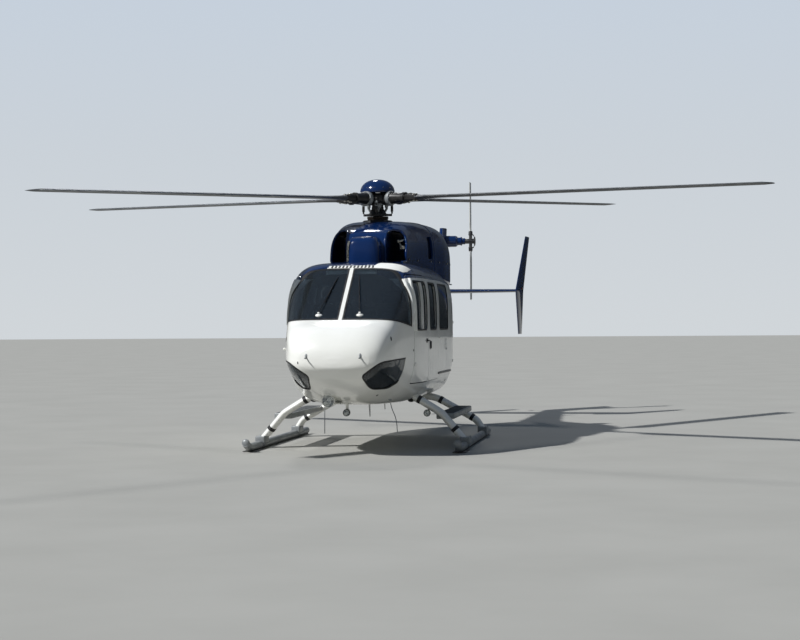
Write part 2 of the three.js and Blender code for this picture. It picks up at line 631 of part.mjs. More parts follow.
function buildInterior() {
  addPair("crew_seat", sidePrism(SEAT, 45, 150, 610), "fabric");
  add("passenger_bench", sidePrism(BENCH, 45, -640, 640), "fabric");
  const hood = sidePrism(PANEL.slice(0, 5), 30, -500, 500);
  const console = sidePrism([[-2330, 800], [-2330, 1300], [-2120, 1300], [-1990, 1060], [-1780, 990], [-1780, 800]],
    20, -125, 125);
  add("instrument_panel", hood.add(console), "trim");
  const searchLight = bar([-30, -1990, 478], [-30, -2100, 478], 32, { sides: 16, end: 42 })
    .add(bar([-30, -2040, 480], [-30, -2040, 590], 18, { sides: 10 }));
  add("search_light", searchLight.subtract(podOver), "dark");
  const landingLight = bar([-170, -2480, 628], [-170, -2330, 628], 78, { sides: 20 });
  add("landing_light", landingLight.subtract(podOver), "grey");
}

// The main rotor, in a group on the mast's tilted axis. Each blade is 90 degrees on from the last.
const LINK = { x: 150, y: 105 };
function buildRotor() {
  const rotor = new THREE.Group();
  rotor.position.z = HUB_HEIGHT;
  rotor.rotation.x = MAST_TILT;
  group.add(rotor);

  add("rotor_mast", bar([0, 0, -540], [0, 0, -70], 62, { sides: 20 }), "dark", { parent: rotor });
  const fixedRing = turned([[70, -262], [136, -262], [136, -232], [70, -232], [70, -262]], 20);
  let swash = fixedRing;
  for (let i = 0; i < 3; i++) {
    const turn = (i / 3) * 2 * Math.PI + Math.PI / 2;
    const [c, s] = [Math.cos(turn), Math.sin(turn)];
    swash = swash.add(bar([118 * c, 118 * s, -245], [118 * c, 118 * s, -540], 15, { sides: 8 }));
  }
  add("swashplate", swash, "titanium", { parent: rotor });

  let hub = turned([[0, -68], [120, -68], [165, -30], [165, 42], [130, 70], [0, 70], [0, -68]], 20);
  const arms = [];
  for (let i = 0; i < BLADES; i++) {
    const turn = FIRST_BLADE + (i * 2 * Math.PI) / BLADES;
    const spin = (p) => [
      p[0] * Math.cos(turn) - p[1] * Math.sin(turn), p[0] * Math.sin(turn) + p[1] * Math.cos(turn), p[2],
    ];
    arms.push(turn);
    hub = hub.add(bar(spin([100, 0, 0]), spin([470, 0, 0]), 66, { sides: 12, end: 58 }));
    hub = hub.add(bar(spin([LINK.x, 0, 0]), spin([LINK.x, LINK.y + 15, -5]), 22, { sides: 8 }));
  }
  add("rotor_hub", hub, "titanium", { parent: rotor });

  let control = turned([[70, -226], [148, -226], [148, -198], [70, -198], [70, -226]], 20);
  for (const turn of arms) {
    const at = (z) => [
      LINK.x * Math.cos(turn) - LINK.y * Math.sin(turn), LINK.x * Math.sin(turn) + LINK.y * Math.cos(turn), z,
    ];
    control = control.add(bar([0.5 * at(0)[0], 0.5 * at(0)[1], -212], at(-212), 14, { sides: 6 }));
    control = control.add(bar(at(-222), at(-30), 14, { sides: 6 }));
  }
  add("pitch_links", control, "titanium", { parent: rotor });

  const dome = [[0, 72], [190, 72], [220, 90], [212, 130], [185, 175], [140, 212], [75, 236], [0, 243], [0, 72]];
  add("hub_cap", turned(dome, 24), "blue", { parent: rotor });

  arms.forEach((turn, i) => {
    const [lead, trail] = [0.25 * BLADE_CHORD, 0.75 * BLADE_CHORD];
    const wing = surface(
      [
        [600, -60, 60, 60],
        [760, -62, 90, 52],
        [980, -lead, trail, 40],
        [ROTOR_RADIUS - 90, -lead, trail, 32],
        [ROTOR_RADIUS, -lead, trail - 60, 16],
      ],
      "blade",
    );
    const root = box(471, 660, -52, 52, -34, 34)
      .add(bar([535, 0, -58], [535, 0, 58], 24, { sides: 8 }))
      .add(bar([610, 28, -50], [610, 28, 50], 17, { sides: 8 }))
      .add(bar([610, -28, -50], [610, -28, 50], 17, { sides: 8 }));
    const blade = add(`main_blade_${i + 1}`, wing.add(root), "blade", { parent: rotor });
    blade.rotation.z = turn;
  });
}

// The tail rotor, on the left of the fin, turning about X, at rest with its blades upright.
function buildTailRotor() {
  const rotor = new THREE.Group();
  rotor.position.set(TAIL_ROTOR.x, TAIL_ROTOR.station, TAIL_ROTOR.z);
  group.add(rotor);
  const hub = bar([-86, 0, 0], [62, 0, 0], 42, { sides: 18 })
    .add(box(-26, 26, -34, 34, -165, 165))
    .add(bar([62, 0, 0], [78, 0, 0], 78, { sides: 18 }));
  add("tail_rotor_hub", hub, "titanium", { parent: rotor });
  const sections = [
    [166, -52, 52, 30],
    [300, -110, 110, 30],
    [TAIL_ROTOR_RADIUS, -110, 110, 20],
  ];
  for (const [name, turn] of [["tail_blade_1", 0], ["tail_blade_2", Math.PI]]) {
    const blade = add(name, surface(sections, "z"), "white", { parent: rotor });
    blade.rotation.x = turn;
  }
}

buildPod();
buildDoors();
buildDeck();
buildTail();
buildGear();
buildInterior();
buildRotor();
buildTailRotor();

export default group;
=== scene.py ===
"""Looks for a light twin-engine helicopter that is parked on its skids.

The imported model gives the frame: its bodies, joints and pieces. This script gives each visible piece its
finished form and finish. Sizes are in millimetres, as they are drawn: across the aircraft (port is
positive), station (aft of the rotor mast) and height above the ground. One function turns them to metres.
"""

import json
import logging
import math
from collections.abc import Callable, Sequence
from dataclasses import dataclass, field
from enum import Enum

import bpy
import numpy as np
from mathutils import Matrix, Vector

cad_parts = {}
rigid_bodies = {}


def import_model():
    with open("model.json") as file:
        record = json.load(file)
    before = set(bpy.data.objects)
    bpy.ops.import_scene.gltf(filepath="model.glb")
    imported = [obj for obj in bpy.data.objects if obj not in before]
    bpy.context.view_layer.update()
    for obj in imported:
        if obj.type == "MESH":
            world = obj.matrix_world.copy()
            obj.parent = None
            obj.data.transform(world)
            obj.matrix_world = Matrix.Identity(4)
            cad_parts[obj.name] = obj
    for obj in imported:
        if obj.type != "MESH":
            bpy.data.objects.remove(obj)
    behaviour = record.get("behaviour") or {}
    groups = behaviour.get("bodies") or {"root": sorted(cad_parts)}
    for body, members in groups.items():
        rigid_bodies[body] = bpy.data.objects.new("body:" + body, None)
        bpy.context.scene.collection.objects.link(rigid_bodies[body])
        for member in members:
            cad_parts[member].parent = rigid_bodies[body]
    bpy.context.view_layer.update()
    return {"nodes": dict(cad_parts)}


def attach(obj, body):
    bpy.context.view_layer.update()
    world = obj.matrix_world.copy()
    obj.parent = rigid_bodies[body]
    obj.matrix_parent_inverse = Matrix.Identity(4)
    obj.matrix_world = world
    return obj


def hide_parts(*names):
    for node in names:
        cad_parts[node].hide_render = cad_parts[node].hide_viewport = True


log = logging.getLogger("helicopter")
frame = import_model()

MM = 0.001
ORIGIN_STATION = 1060.0
FAR = 4000.0
ALL = (-FAR, FAR)
SIDE_DEPTH = (250, 1200)  # from inside a side's wall to outside it

Limits = tuple[float, float]
Outline = Sequence[tuple[float, float]]
Object = bpy.types.Object
Tree = bpy.types.NodeTree
Node = bpy.types.Node
Socket = bpy.types.NodeSocket

PORT = Vector((1, 0, 0))
AFT = Vector((0, 1, 0))
UP = Vector((0, 0, 1))
ABOUT_ORIGIN = AFT * ORIGIN_STATION  # the frame's origin, as a place on the drawing in millimetres


# How pieces are made.


def spot(across: float, station: float, height: float) -> Vector:
    """Turns a place on the drawing to a place in the frame, in metres."""
    return Vector((across * MM, (station - ORIGIN_STATION) * MM, height * MM))


def mm(x: float, y: float, z: float) -> Vector:
    """Turns a step, or a place about the frame's origin, from millimetres to metres."""
    return Vector((x, y, z)) * MM


def alone(piece: Object) -> None:
    """Selects one piece and nothing else.

    Args:
        piece: The piece.
    """
    bpy.ops.object.select_all(action="DESELECT")
    piece.select_set(True)
    bpy.context.view_layer.objects.active = piece


def settled() -> Object:
    """Puts the newest primitive's place and size into its mesh, and returns it."""
    alone(bpy.context.object)
    bpy.ops.object.transform_apply(location=True, rotation=True, scale=True)
    return bpy.context.object


def edited(piece: Object, steps: Callable[[], object] | None = None) -> None:
    """Edits a piece's mesh, and then turns all its faces outwards.

    Args:
        piece: The piece.
        steps: What is done in edit mode, where everything is selected.
    """
    alone(piece)
    bpy.ops.object.mode_set(mode="EDIT")
    bpy.ops.mesh.select_all(action="SELECT")
    if steps:
        steps()
    bpy.ops.mesh.select_all(action="SELECT")
    bpy.ops.mesh.normals_make_consistent(inside=False)
    bpy.ops.object.mode_set(mode="OBJECT")


def modify(piece: Object, kind: str, **settings: object) -> Object:
    """Adds a modifier with its settings, and applies it.

    Args:
        piece: What is modified.
        kind: Blender's name for the modifier.
        settings: The modifier's properties.

    Returns:
        The same piece.
    """
    alone(piece)
    modifier = piece.modifiers.new(kind, kind)
    for key, value in settings.items():
        setattr(modifier, key, value)
    bpy.ops.object.modifier_apply(modifier=modifier.name)
    return piece


def cut(piece: Object, tool: Object, how: str = "DIFFERENCE") -> Object:
    """Cuts, keeps or adds what a tool covers, and takes the tool away.

    Args:
        piece: The piece that changes.
        tool: The closed shape that changes it.
        how: DIFFERENCE, INTERSECT or UNION.

    Returns:
        The same piece.
    """
    modify(piece, "BOOLEAN", operation=how, solver="MANIFOLD", object=tool)
    if not len(piece.data.polygons):
        log.warning("%s is empty after %s with %s", piece.name, how, tool.name)
    bpy.data.objects.remove(tool)
    return piece


def copied(piece: Object) -> Object:
    """Copies a piece with its own mesh.

    Args:
        piece: What is copied.

    Returns:
        The copy.
    """
    alone(piece)
    bpy.ops.object.duplicate()
    return bpy.context.object


def moved(piece: Object, change: Matrix) -> Object:
    """Moves or turns a piece's mesh, and keeps its faces outwards where it is mirrored.

    Args:
        piece: The piece.
        change: How each of its points moves.

    Returns:
        The same piece.
    """
    piece.data.transform(change)
    if change.determinant() < 0:
        piece.data.flip_normals()
    return piece


def mirrored(piece: Object) -> Object:
    """Copies a piece to the aircraft's other side."""
    return moved(copied(piece), Matrix.Scale(-1, 4, PORT))


def joined(pieces: Sequence[Object]) -> Object:
    """Joins pieces into the first one.

    Args:
        pieces: What is joined.

    Returns:
        The first piece, with the others in it.
    """
    alone(pieces[0])
    for other in pieces[1:]:
        other.select_set(True)
    bpy.ops.object.join()
    return pieces[0]


def smoothed(piece: Object, angle: float = 30.0) -> Object:
    """Shades a piece smooth across its shallow edges.

    Args:
        piece: The piece.
        angle: How far an edge may turn, in degrees.

    Returns:
        The same piece.
    """
    alone(piece)
    bpy.ops.object.shade_smooth_by_angle(angle=math.radians(angle))
    return piece


def softened(piece: Object, width: float, segments: int = 2) -> Object:
    """Rounds a piece's sharp edges.

    Args:
        piece: What is rounded.
        width: The bevel's width in millimetres.
        segments: How many facets the bevel has.

    Returns:
        The same piece, shaded smooth.
    """
    modify(
        piece, "BEVEL", width=width * MM, segments=segments, limit_method="ANGLE",
        angle_limit=math.radians(35), harden_normals=False,
    )
    return smoothed(piece, 40)


def block(across: Limits, station: Limits, height: Limits, bevel: float = 0.0, segments: int = 2) -> Object:
    """Makes a block, rounded where it has a bevel.

    Args:
        across: Its lowest and highest place across.
        station: The same along the aircraft.
        height: The same in height.
        bevel: The width of its rounded edges, or 0.
        segments: How many facets they have.

    Returns:
        The block.
    """
    low, high = (spot(across[k], station[k], height[k]) for k in (0, 1))
    bpy.ops.mesh.primitive_cube_add(size=1, location=(low + high) / 2, scale=high - low)
    piece = settled()
    return softened(piece, bevel, segments) if bevel else piece


def pad(across: Limits, along: Limits, height: Limits, bevel: float, segments: int = 2) -> Object:
    """Makes a rounded block about the frame's origin; its arguments are those of block."""
    return block(across, (along[0] + ORIGIN_STATION, along[1] + ORIGIN_STATION), height, bevel, segments)


def rod(start: Vector, end: Vector, radius: float, tip: float | None = None, sides: int = 32,
        bevel: float = 0.0) -> Object:
    """Makes a round bar between two places.

    Args:
        start: The middle of its first end.
        end: The middle of its other end.
        radius: Its radius in millimetres.
        tip: The other end's radius, where the bar is tapered.
        sides: How many facets it has round it.
        bevel: How wide its ends are rounded.

    Returns:
        The bar.
    """
    run = end - start
    bpy.ops.mesh.primitive_cone_add(
        vertices=sides, radius1=radius * MM, radius2=(radius if tip is None else tip) * MM, depth=run.length,
        location=(start + end) / 2, rotation=run.to_track_quat("Z", "Y").to_euler(),
    )
    piece = settled()
    return softened(piece, bevel) if bevel else smoothed(piece, 40)


def ball(centre: Vector, size: tuple[float, float, float], segments: int = 48) -> Object:
    """Makes an ellipsoid.

    Args:
        centre: Its middle.
        size: Its half sizes in millimetres.
        segments: How many facets it has round it.

    Returns:
        The ellipsoid.
    """
    bpy.ops.mesh.primitive_uv_sphere_add(
        segments=segments, ring_count=segments // 2, radius=1, location=centre, scale=[s * MM for s in size],
    )
    return smoothed(settled(), 60)


def sweep(points: Sequence[Vector], radius: float, sides: int = 12) -> Object:
    """Makes a round bar that bends along a line of places.

    Args:
        points: Where the middle of the bar runs.
        radius: Its radius in millimetres.
        sides: How many facets it has round it.

    Returns:
        The bar, closed at both ends.
    """
    curve = bpy.data.curves.new("bar", "CURVE")
    curve.dimensions = "3D"
    curve.bevel_depth = radius * MM
    curve.bevel_resolution = sides // 4
    curve.use_fill_caps = True
    curve.resolution_u = 8
    spline = curve.splines.new("BEZIER")
    spline.bezier_points.add(len(points) - 1)
    for knot, point in zip(spline.bezier_points, points):
        knot.co = point
        knot.handle_left_type = knot.handle_right_type = "AUTO"
    piece = bpy.data.objects.new("bar", curve)
    bpy.context.scene.collection.objects.link(piece)
    alone(piece)
    bpy.ops.object.convert(target="MESH")
    return smoothed(bpy.context.object, 50)


def turned(profile: Outline, centre: Vector = Vector(), axis: Vector = UP, steps: int = 64) -> Object:
    """Spins a closed profile into a round piece.

    Args:
        profile: Its points, as (radius, place along the axis) in millimetres.
        centre: Where the axis starts.
        axis: Which way it runs.
        steps: How many facets the piece has round it.

    Returns:
        The round piece.
    """
    bpy.ops.mesh.primitive_circle_add(vertices=len(profile), fill_type="NOTHING")
    piece = bpy.context.object
    for vertex, (radius, along) in zip(piece.data.vertices, profile):
        vertex.co = (radius * MM, 0, along * MM)

    def spin() -> None:
        """Spins the profile, and merges it where it closes and at the axis."""
        bpy.ops.mesh.spin(steps=steps, angle=math.tau, center=(0, 0, 0), axis=(0, 0, 1))
        bpy.ops.mesh.select_all(action="SELECT")
        bpy.ops.mesh.remove_doubles(threshold=1e-6)
        bpy.ops.mesh.delete_loose(use_verts=True, use_edges=True, use_faces=False)

    edited(piece, spin)
    place = Matrix.Translation(centre) @ axis.to_track_quat("Z", "Y").to_matrix().to_4x4()
    return smoothed(moved(settled(), place), 35)


def loft(rings: Sequence[np.ndarray]) -> Object:
    """Lays a sphere's rings of vertices on rings of places, and its poles in the middle of the end rings.

    Args:
        rings: Each ring's places on the drawing in millimetres, as rows of three.

    Returns:
        The closed skin.
    """
    rings = np.array(rings)
    count, around = rings.shape[:2]
    bpy.ops.mesh.primitive_uv_sphere_add(segments=around, ring_count=count + 1, radius=1)
    piece = bpy.context.object
    ball_points = np.empty(len(piece.data.vertices) * 3)
    piece.data.vertices.foreach_get("co", ball_points)
    x, y, z = ball_points.reshape(-1, 3).T
    ring = np.rint(np.arctan2(np.hypot(x, y), z) / math.pi * (count + 1)).astype(int) - 1
    point = np.rint(np.arctan2(y, x) / math.tau * around).astype(int) % around
    places = rings[np.clip(ring, 0, count - 1), point]
    places[ring < 0] = rings[0].mean(0)
    places[ring >= count] = rings[-1].mean(0)
    places = (places - (0, ORIGIN_STATION, 0)) * MM
    piece.data.vertices.foreach_set("co", places.astype(np.float32).ravel())
    edited(piece)
    return smoothed(settled(), 40)


class Facing(Enum):
    """Which view an outline is drawn in, and how its two numbers and a depth make a place."""

    SIDE = (2, 0, 1)
    FRONT = (0, 2, 1)
    TOP = (0, 1, 2)

    def place(self, point: Sequence[float], depth: float) -> Vector:
        """The place of an outline's point at a depth."""
        numbers = (*point, depth)
        return spot(*(numbers[k] for k in self.value))


def rounded(points: Outline, radius: float, steps: int = 8) -> Outline:
    """Rounds an outline's corners.

    Args:
        points: The outline.
        radius: How far from a corner the rounding starts, at most.
        steps: How many facets a corner gets.

    Returns:
        The rounded outline.
    """
    corners = [Vector(p) for p in points]
    line = []
    for i, here in enumerate(corners):
        before, after = corners[i - 1] - here, corners[(i + 1) % len(corners)] - here
        reach = min(radius, before.length / 2.01, after.length / 2.01)
        start, end = here + before.normalized() * reach, here + after.normalized() * reach
        for k in range(steps + 1):
            t = k / steps
            line.append(tuple(start * (1 - t) ** 2 + here * 2 * t * (1 - t) + end * t * t))
    return line


def grown(line: Outline, distance: float) -> Outline:
    """Draws an outline out by a distance, or in by a negative one.

    Args:
        line: The outline.
        distance: How far each point moves, square to the outline's own run.

    Returns:
        The new outline.
    """
    points = np.array(line)
    run = np.roll(points, -1, 0) - np.roll(points, 1, 0)
    run /= np.hypot(*run.T)[:, None]
    area = np.sum(points[:, 0] * np.roll(points[:, 1], -1) - np.roll(points[:, 0], -1) * points[:, 1])
    out = np.stack([run[:, 1], -run[:, 0]], 1) * math.copysign(1.0, area) * distance
    return [tuple(p) for p in points + out]


def prism(line: Outline, facing: Facing, low: float, high: float) -> Object:
    """Extrudes an outline of a view from one depth to another.

    Args:
        line: The outline's points as that view shows them, in millimetres.
        facing: The view the outline is drawn in.
        low: The depth it starts at.
        high: The depth it ends at.

    Returns:
        The closed prism.
    """
    bpy.ops.mesh.primitive_circle_add(vertices=len(line), fill_type="NGON")
    piece = bpy.context.object
    for vertex, point in zip(piece.data.vertices, line):
        vertex.co = facing.place(point, low)
    shift = facing.place((0, 0), high) - facing.place((0, 0), low)
    edited(piece, lambda: bpy.ops.mesh.extrude_region_move(TRANSFORM_OT_translate={"value": shift}))
    cap = max(piece.data.polygons, key=lambda face: len(face.vertices))
    middle = (facing.place(line[0], low) + facing.place(line[0], high)) / 2
    if (cap.center - middle).dot(shift) * cap.normal.dot(shift) < 0:
        piece.data.flip_normals()
    return settled()


def both(line: Outline) -> Object:
    """A side-view outline run through both sides of the pod, and not through its middle."""
    left = prism(line, Facing.SIDE, *SIDE_DEPTH)
    return joined([left, mirrored(left)])


def on_skin(piece: Object, start: Vector, way: Vector) -> Matrix:
    """Finds where a line meets a piece.

    Args:
        piece: What the line is to meet.
        start: Where the line starts.
        way: Which way it runs.

    Returns:
        A place on the skin whose Z axis points out of it.
    """
    hit, where, normal, _ = piece.ray_cast(start, way.normalized())
    if not hit:
        raise ValueError(f"no place on {piece.name} from {start}")
    return Matrix.Translation(where) @ normal.to_track_quat("Z", "Y").to_matrix().to_4x4()


def at_side(piece: Object, sign: int, station: float, height: float) -> Matrix:
    """Finds a place on a piece's side.

    Args:
        piece: The piece.
        sign: 1 for port and -1 for starboard.
        station: How far along it is.
        height: How high it is.

    Returns:
        A place on the skin whose Z axis points out of it and whose X axis points aft.
    """
    matrix = on_skin(piece, spot(sign * 2000, station, height), Vector((-sign, 0, 0)))
    out = matrix.to_3x3().col[2].copy()
    aft = (AFT - out * AFT.dot(out)).normalized()
    turn = Matrix((aft, out.cross(aft), out)).transposed().to_4x4()
    return Matrix.Translation(matrix.translation) @ turn


def at_front(piece: Object, across: float, height: float) -> Matrix:
    """A place on a piece's front, at a distance from the middle and a height."""
    return on_skin(piece, spot(across, -4500, height), AFT)


def eased(rows: np.ndarray, stations: np.ndarray) -> np.ndarray:
    """Reads a table's columns on smooth curves that don't overshoot its rows.

    Args:
        rows: The table, with the station in its first column.
        stations: Where it is read.

    Returns:
        The other columns' values, a row for each station.
    """
    x, y = rows[:, 0], rows[:, 1:]
    h = np.diff(x)[:, None]
    slope = np.diff(y, axis=0) / h
    before, after = 2 * h[1:] + h[:-1], h[1:] + 2 * h[:-1]
    same = slope[1:] * slope[:-1] > 0
    first, second = np.where(same, slope[:-1], 1), np.where(same, slope[1:], 1)
    inner = np.where(same, (before + after) / (before / first + after / second), 0)
    tangent = np.vstack([slope[:1], inner, slope[-1:]])
    k = np.clip(np.searchsorted(x, stations) - 1, 0, len(x) - 2)
    t = ((stations - x[k]) / h[k, 0])[:, None]
    rise = 3 * t**2 - 2 * t**3
    return (
        y[k] * (1 - rise) + y[k + 1] * rise
        + h[k] * tangent[k] * (t**3 - 2 * t**2 + t) + h[k] * tangent[k + 1] * (t**3 - t**2)
    )


def quarter(half: float, rise: float, exponent: float, count: int) -> np.ndarray:
    """Draws a quarter of a superellipse, with its points closer together where it bends.

    Args:
        half: Its half width.
        rise: Its height.
        exponent: 2 for an ellipse, and more for a squarer curve.
        count: How many pieces it has.

    Returns:
        Its points, from the widest one to the crown.
    """
    turn = np.linspace(0, math.pi / 2, 181)
    line = np.stack([half * np.cos(turn) ** (2 / exponent), rise * np.sin(turn) ** (2 / exponent)], 1)
    step = np.diff(line, axis=0)
    bend = np.abs(np.diff(np.unwrap(np.arctan2(step[:, 1], step[:, 0]))))
    measure = np.concatenate([[0], np.cumsum(np.hypot(*step.T))])
    measure[1:] += 300 * np.concatenate([np.cumsum(bend), [bend.sum()]])
    wanted = np.linspace(0, measure[-1], count + 1)
    return np.stack([np.interp(wanted, measure, line[:, 0]), np.interp(wanted, measure, line[:, 1])], 1)


def hull_ring(section: Sequence[float], station: float, around: int, growth: float = 0.0) -> np.ndarray:
    """Draws a section through a hull.

    Args:
        section: Half width, height of the widest point, bottom, top, lower exponent and upper exponent.
        station: Where it lies.
        around: How many points it has.
        growth: How far outside the section it is drawn.

    Returns:
        Its points on the drawing.
    """
    half, widest, bottom, top, low, high = section
    up = quarter(half + growth, top + growth - widest, high, around // 4)
    down = quarter(half + growth, widest - bottom + growth, low, around // 4)
    loop = np.concatenate([up[:-1], up[:0:-1] * (-1, 1), down[:-1] * (-1, -1), down[:0:-1] * (1, -1)])
    return np.stack([loop[:, 0], np.full(len(loop), station), widest + loop[:, 1]], 1)


@dataclass(frozen=True)
class Hull:
    """A body through superellipse sections.

    Each row is a station, half width, height of the widest point, bottom, top, lower exponent and upper
    exponent.
    """

    rows: tuple[tuple[float, ...], ...]
    spacing: float = 34.0
    around: int = 144

    def read(self, stations: np.ndarray) -> np.ndarray:
        """The sections' values at any stations."""
        return eased(np.array(self.rows, float), stations)

    def body(self, start: float | None = None, end: float | None = None, inset: float = 0.0,
             bulge: float = 0.0) -> Object:
        """Makes the body between two stations.

        Args:
            start: Its first station, or None for the table's.
            end: Its last station, or None for the table's.
            inset: How far inside the sections its skin lies.
            bulge: How far the first end is rounded out.

        Returns:
            The closed body.
        """
        start = self.rows[0][0] if start is None else start
        end = self.rows[-1][0] if end is None else end
        stations = np.linspace(start, end, max(3, int((end - start) / self.spacing) + 1))
        knots = [row[0] for row in self.rows if start < row[0] < start + 300]
        stations = np.unique(np.concatenate([stations, knots, start + np.array([8.0, 20.0])]))
        rings = [hull_ring(row, at, self.around, -inset) for at, row in zip(stations, self.read(stations))]
        if bulge:
            rim, middle = rings[0], rings[0].mean(0)
            caps = [
                middle + (rim - middle) * math.cos(angle) - (0, bulge * math.sin(angle), 0)
                for angle in np.radians((80, 65, 45, 25))
            ]
            rings = caps + rings
        return loft(rings)


# What the finishes are made of.


def srgb(colour: str) -> tuple[float, float, float, float]:
    """Turns a colour such as "#f2f2ec" to the linear values that a shader takes."""
    parts = [int(colour[i:i + 2], 16) / 255 for i in (1, 3, 5)]
    return (*(c / 12.92 if c <= 0.04045 else ((c + 0.055) / 1.055) ** 2.4 for c in parts), 1.0)


def node(tree: Tree, kind: str, inputs: dict, output: int | str = 0, **settings: object) -> Socket:
    """Adds a node.

    Args:
        tree: Where it goes.
        kind: Its type, without the words ShaderNode.
        inputs: What each socket takes, a value or another node's output.
        output: The output that is wanted.
        settings: The node's own properties.

    Returns:
        That output, from which the node can be reached.
    """
    made = tree.nodes.new("ShaderNode" + kind)
    for key, value in settings.items():
        setattr(made, key, value)
    for key, value in inputs.items():
        if isinstance(value, Socket):
            tree.links.new(value, made.inputs[key])
        else:
            made.inputs[key].default_value = value
    return made.outputs[output]


@dataclass(frozen=True)
class Work:
    """A material while it is made: its nodes, its shader, and the place that its patterns read."""

    tree: Tree
    shader: Node
    where: Socket

    def patches(self, size: float, spread: Limits, result: Limits = (0.0, 1.0),
                detail: float = 4.0) -> Socket:
        """Makes soft patches.

        Args:
            size: How large they are, in millimetres.
            spread: The noise values that give the limits of the result.
            result: The result's limits.
            detail: How much finer noise is in them.

        Returns:
            A value that changes from patch to patch.
        """
        noise = node(self.tree, "TexNoise", {
            "Vector": self.where, "Scale": 1000 / size, "Detail": detail, "Roughness": 0.55,
        })
        return node(self.tree, "MapRange", {
            "Value": noise, "From Min": spread[0], "From Max": spread[1],
            "To Min": result[0], "To Max": result[1],
        })


@dataclass(frozen=True)
class Finish:
    """A surface that varies a little in colour, gloss and relief, as real ones do.

    Sizes are in millimetres: patch is how large the colour's patches are, grain is how large the relief's
    bumps are, and depth is how high they stand.
    """

    name: str
    colour: str
    second: str
    patch: float
    roughness: float = 0.4
    rough_change: float = 0.08
    metallic: float = 0.0
    grain: float = 3.0
    depth: float = 0.0
    coat: float = 0.0
    stretch: tuple[float, float, float] = (1.0, 1.0, 1.0)
    speckle: float = 0.0

    def build(self) -> bpy.types.Material:
        """Makes the material, or finds it where it is made already."""
        material = bpy.data.materials.get(self.name)
        if not material:
            material = bpy.data.materials.new(self.name)
            material.use_nodes = True
            tree = material.node_tree
            place = node(tree, "TexCoord", {}, "Object")
            where = node(tree, "Mapping", {"Vector": place, "Scale": self.stretch})
            work = Work(tree, tree.nodes["Principled BSDF"], where)
            for socket, value in self.constants().items():
                work.shader.inputs[socket].default_value = value
            for socket, value in (
                ("Base Color", self.colours(work)), ("Roughness", self.gloss(work)),
                ("Normal", self.relief(work)),
            ):
                if value:
                    tree.links.new(value, work.shader.inputs[socket])
        return material

    def constants(self) -> dict[str, float]:
        """What is the same all over the surface."""
        return {"Metallic": self.metallic, "Coat Weight": self.coat, "Coat Roughness": 0.04}

    def colours(self, work: Work) -> Socket:
        """Makes the base colour, with its patches and its fine speckle.

        Args:
            work: The material.

        Returns:
            The colour.
        """
        share = work.patches(self.patch, (0.35, 0.65))
        colour = node(
            work.tree, "Mix", {0: share, 6: srgb(self.colour), 7: srgb(self.second)}, 2, data_type="RGBA",
        )
        if self.speckle:
            fine = work.patches(self.grain * 2, (0.4, 0.75), (0.0, self.speckle), 2.0)
            colour = node(work.tree, "Mix", {0: fine, 6: colour, 7: srgb("#0b0b0c")}, 2, data_type="RGBA")
        return colour

    def gloss(self, work: Work) -> Socket:
        """The roughness, a little uneven."""
        low, high = self.roughness - self.rough_change, self.roughness + self.rough_change
        return work.patches(self.patch * 0.4, (0.3, 0.7), (max(0.02, low), high))

    def relief(self, work: Work) -> Socket | None:
        """Makes the bumps, where the finish has any.

        Args:
            work: The material.

        Returns:
            The bumped normal, or None.
        """
        if not self.depth:
            return None
        height = node(work.tree, "TexNoise", {
            "Vector": work.where, "Scale": 1000 / self.grain, "Detail": 2.0, "Roughness": 0.55,
        })
        return node(work.tree, "Bump", {"Height": height, "Distance": self.depth * MM, "Strength": 1.0})


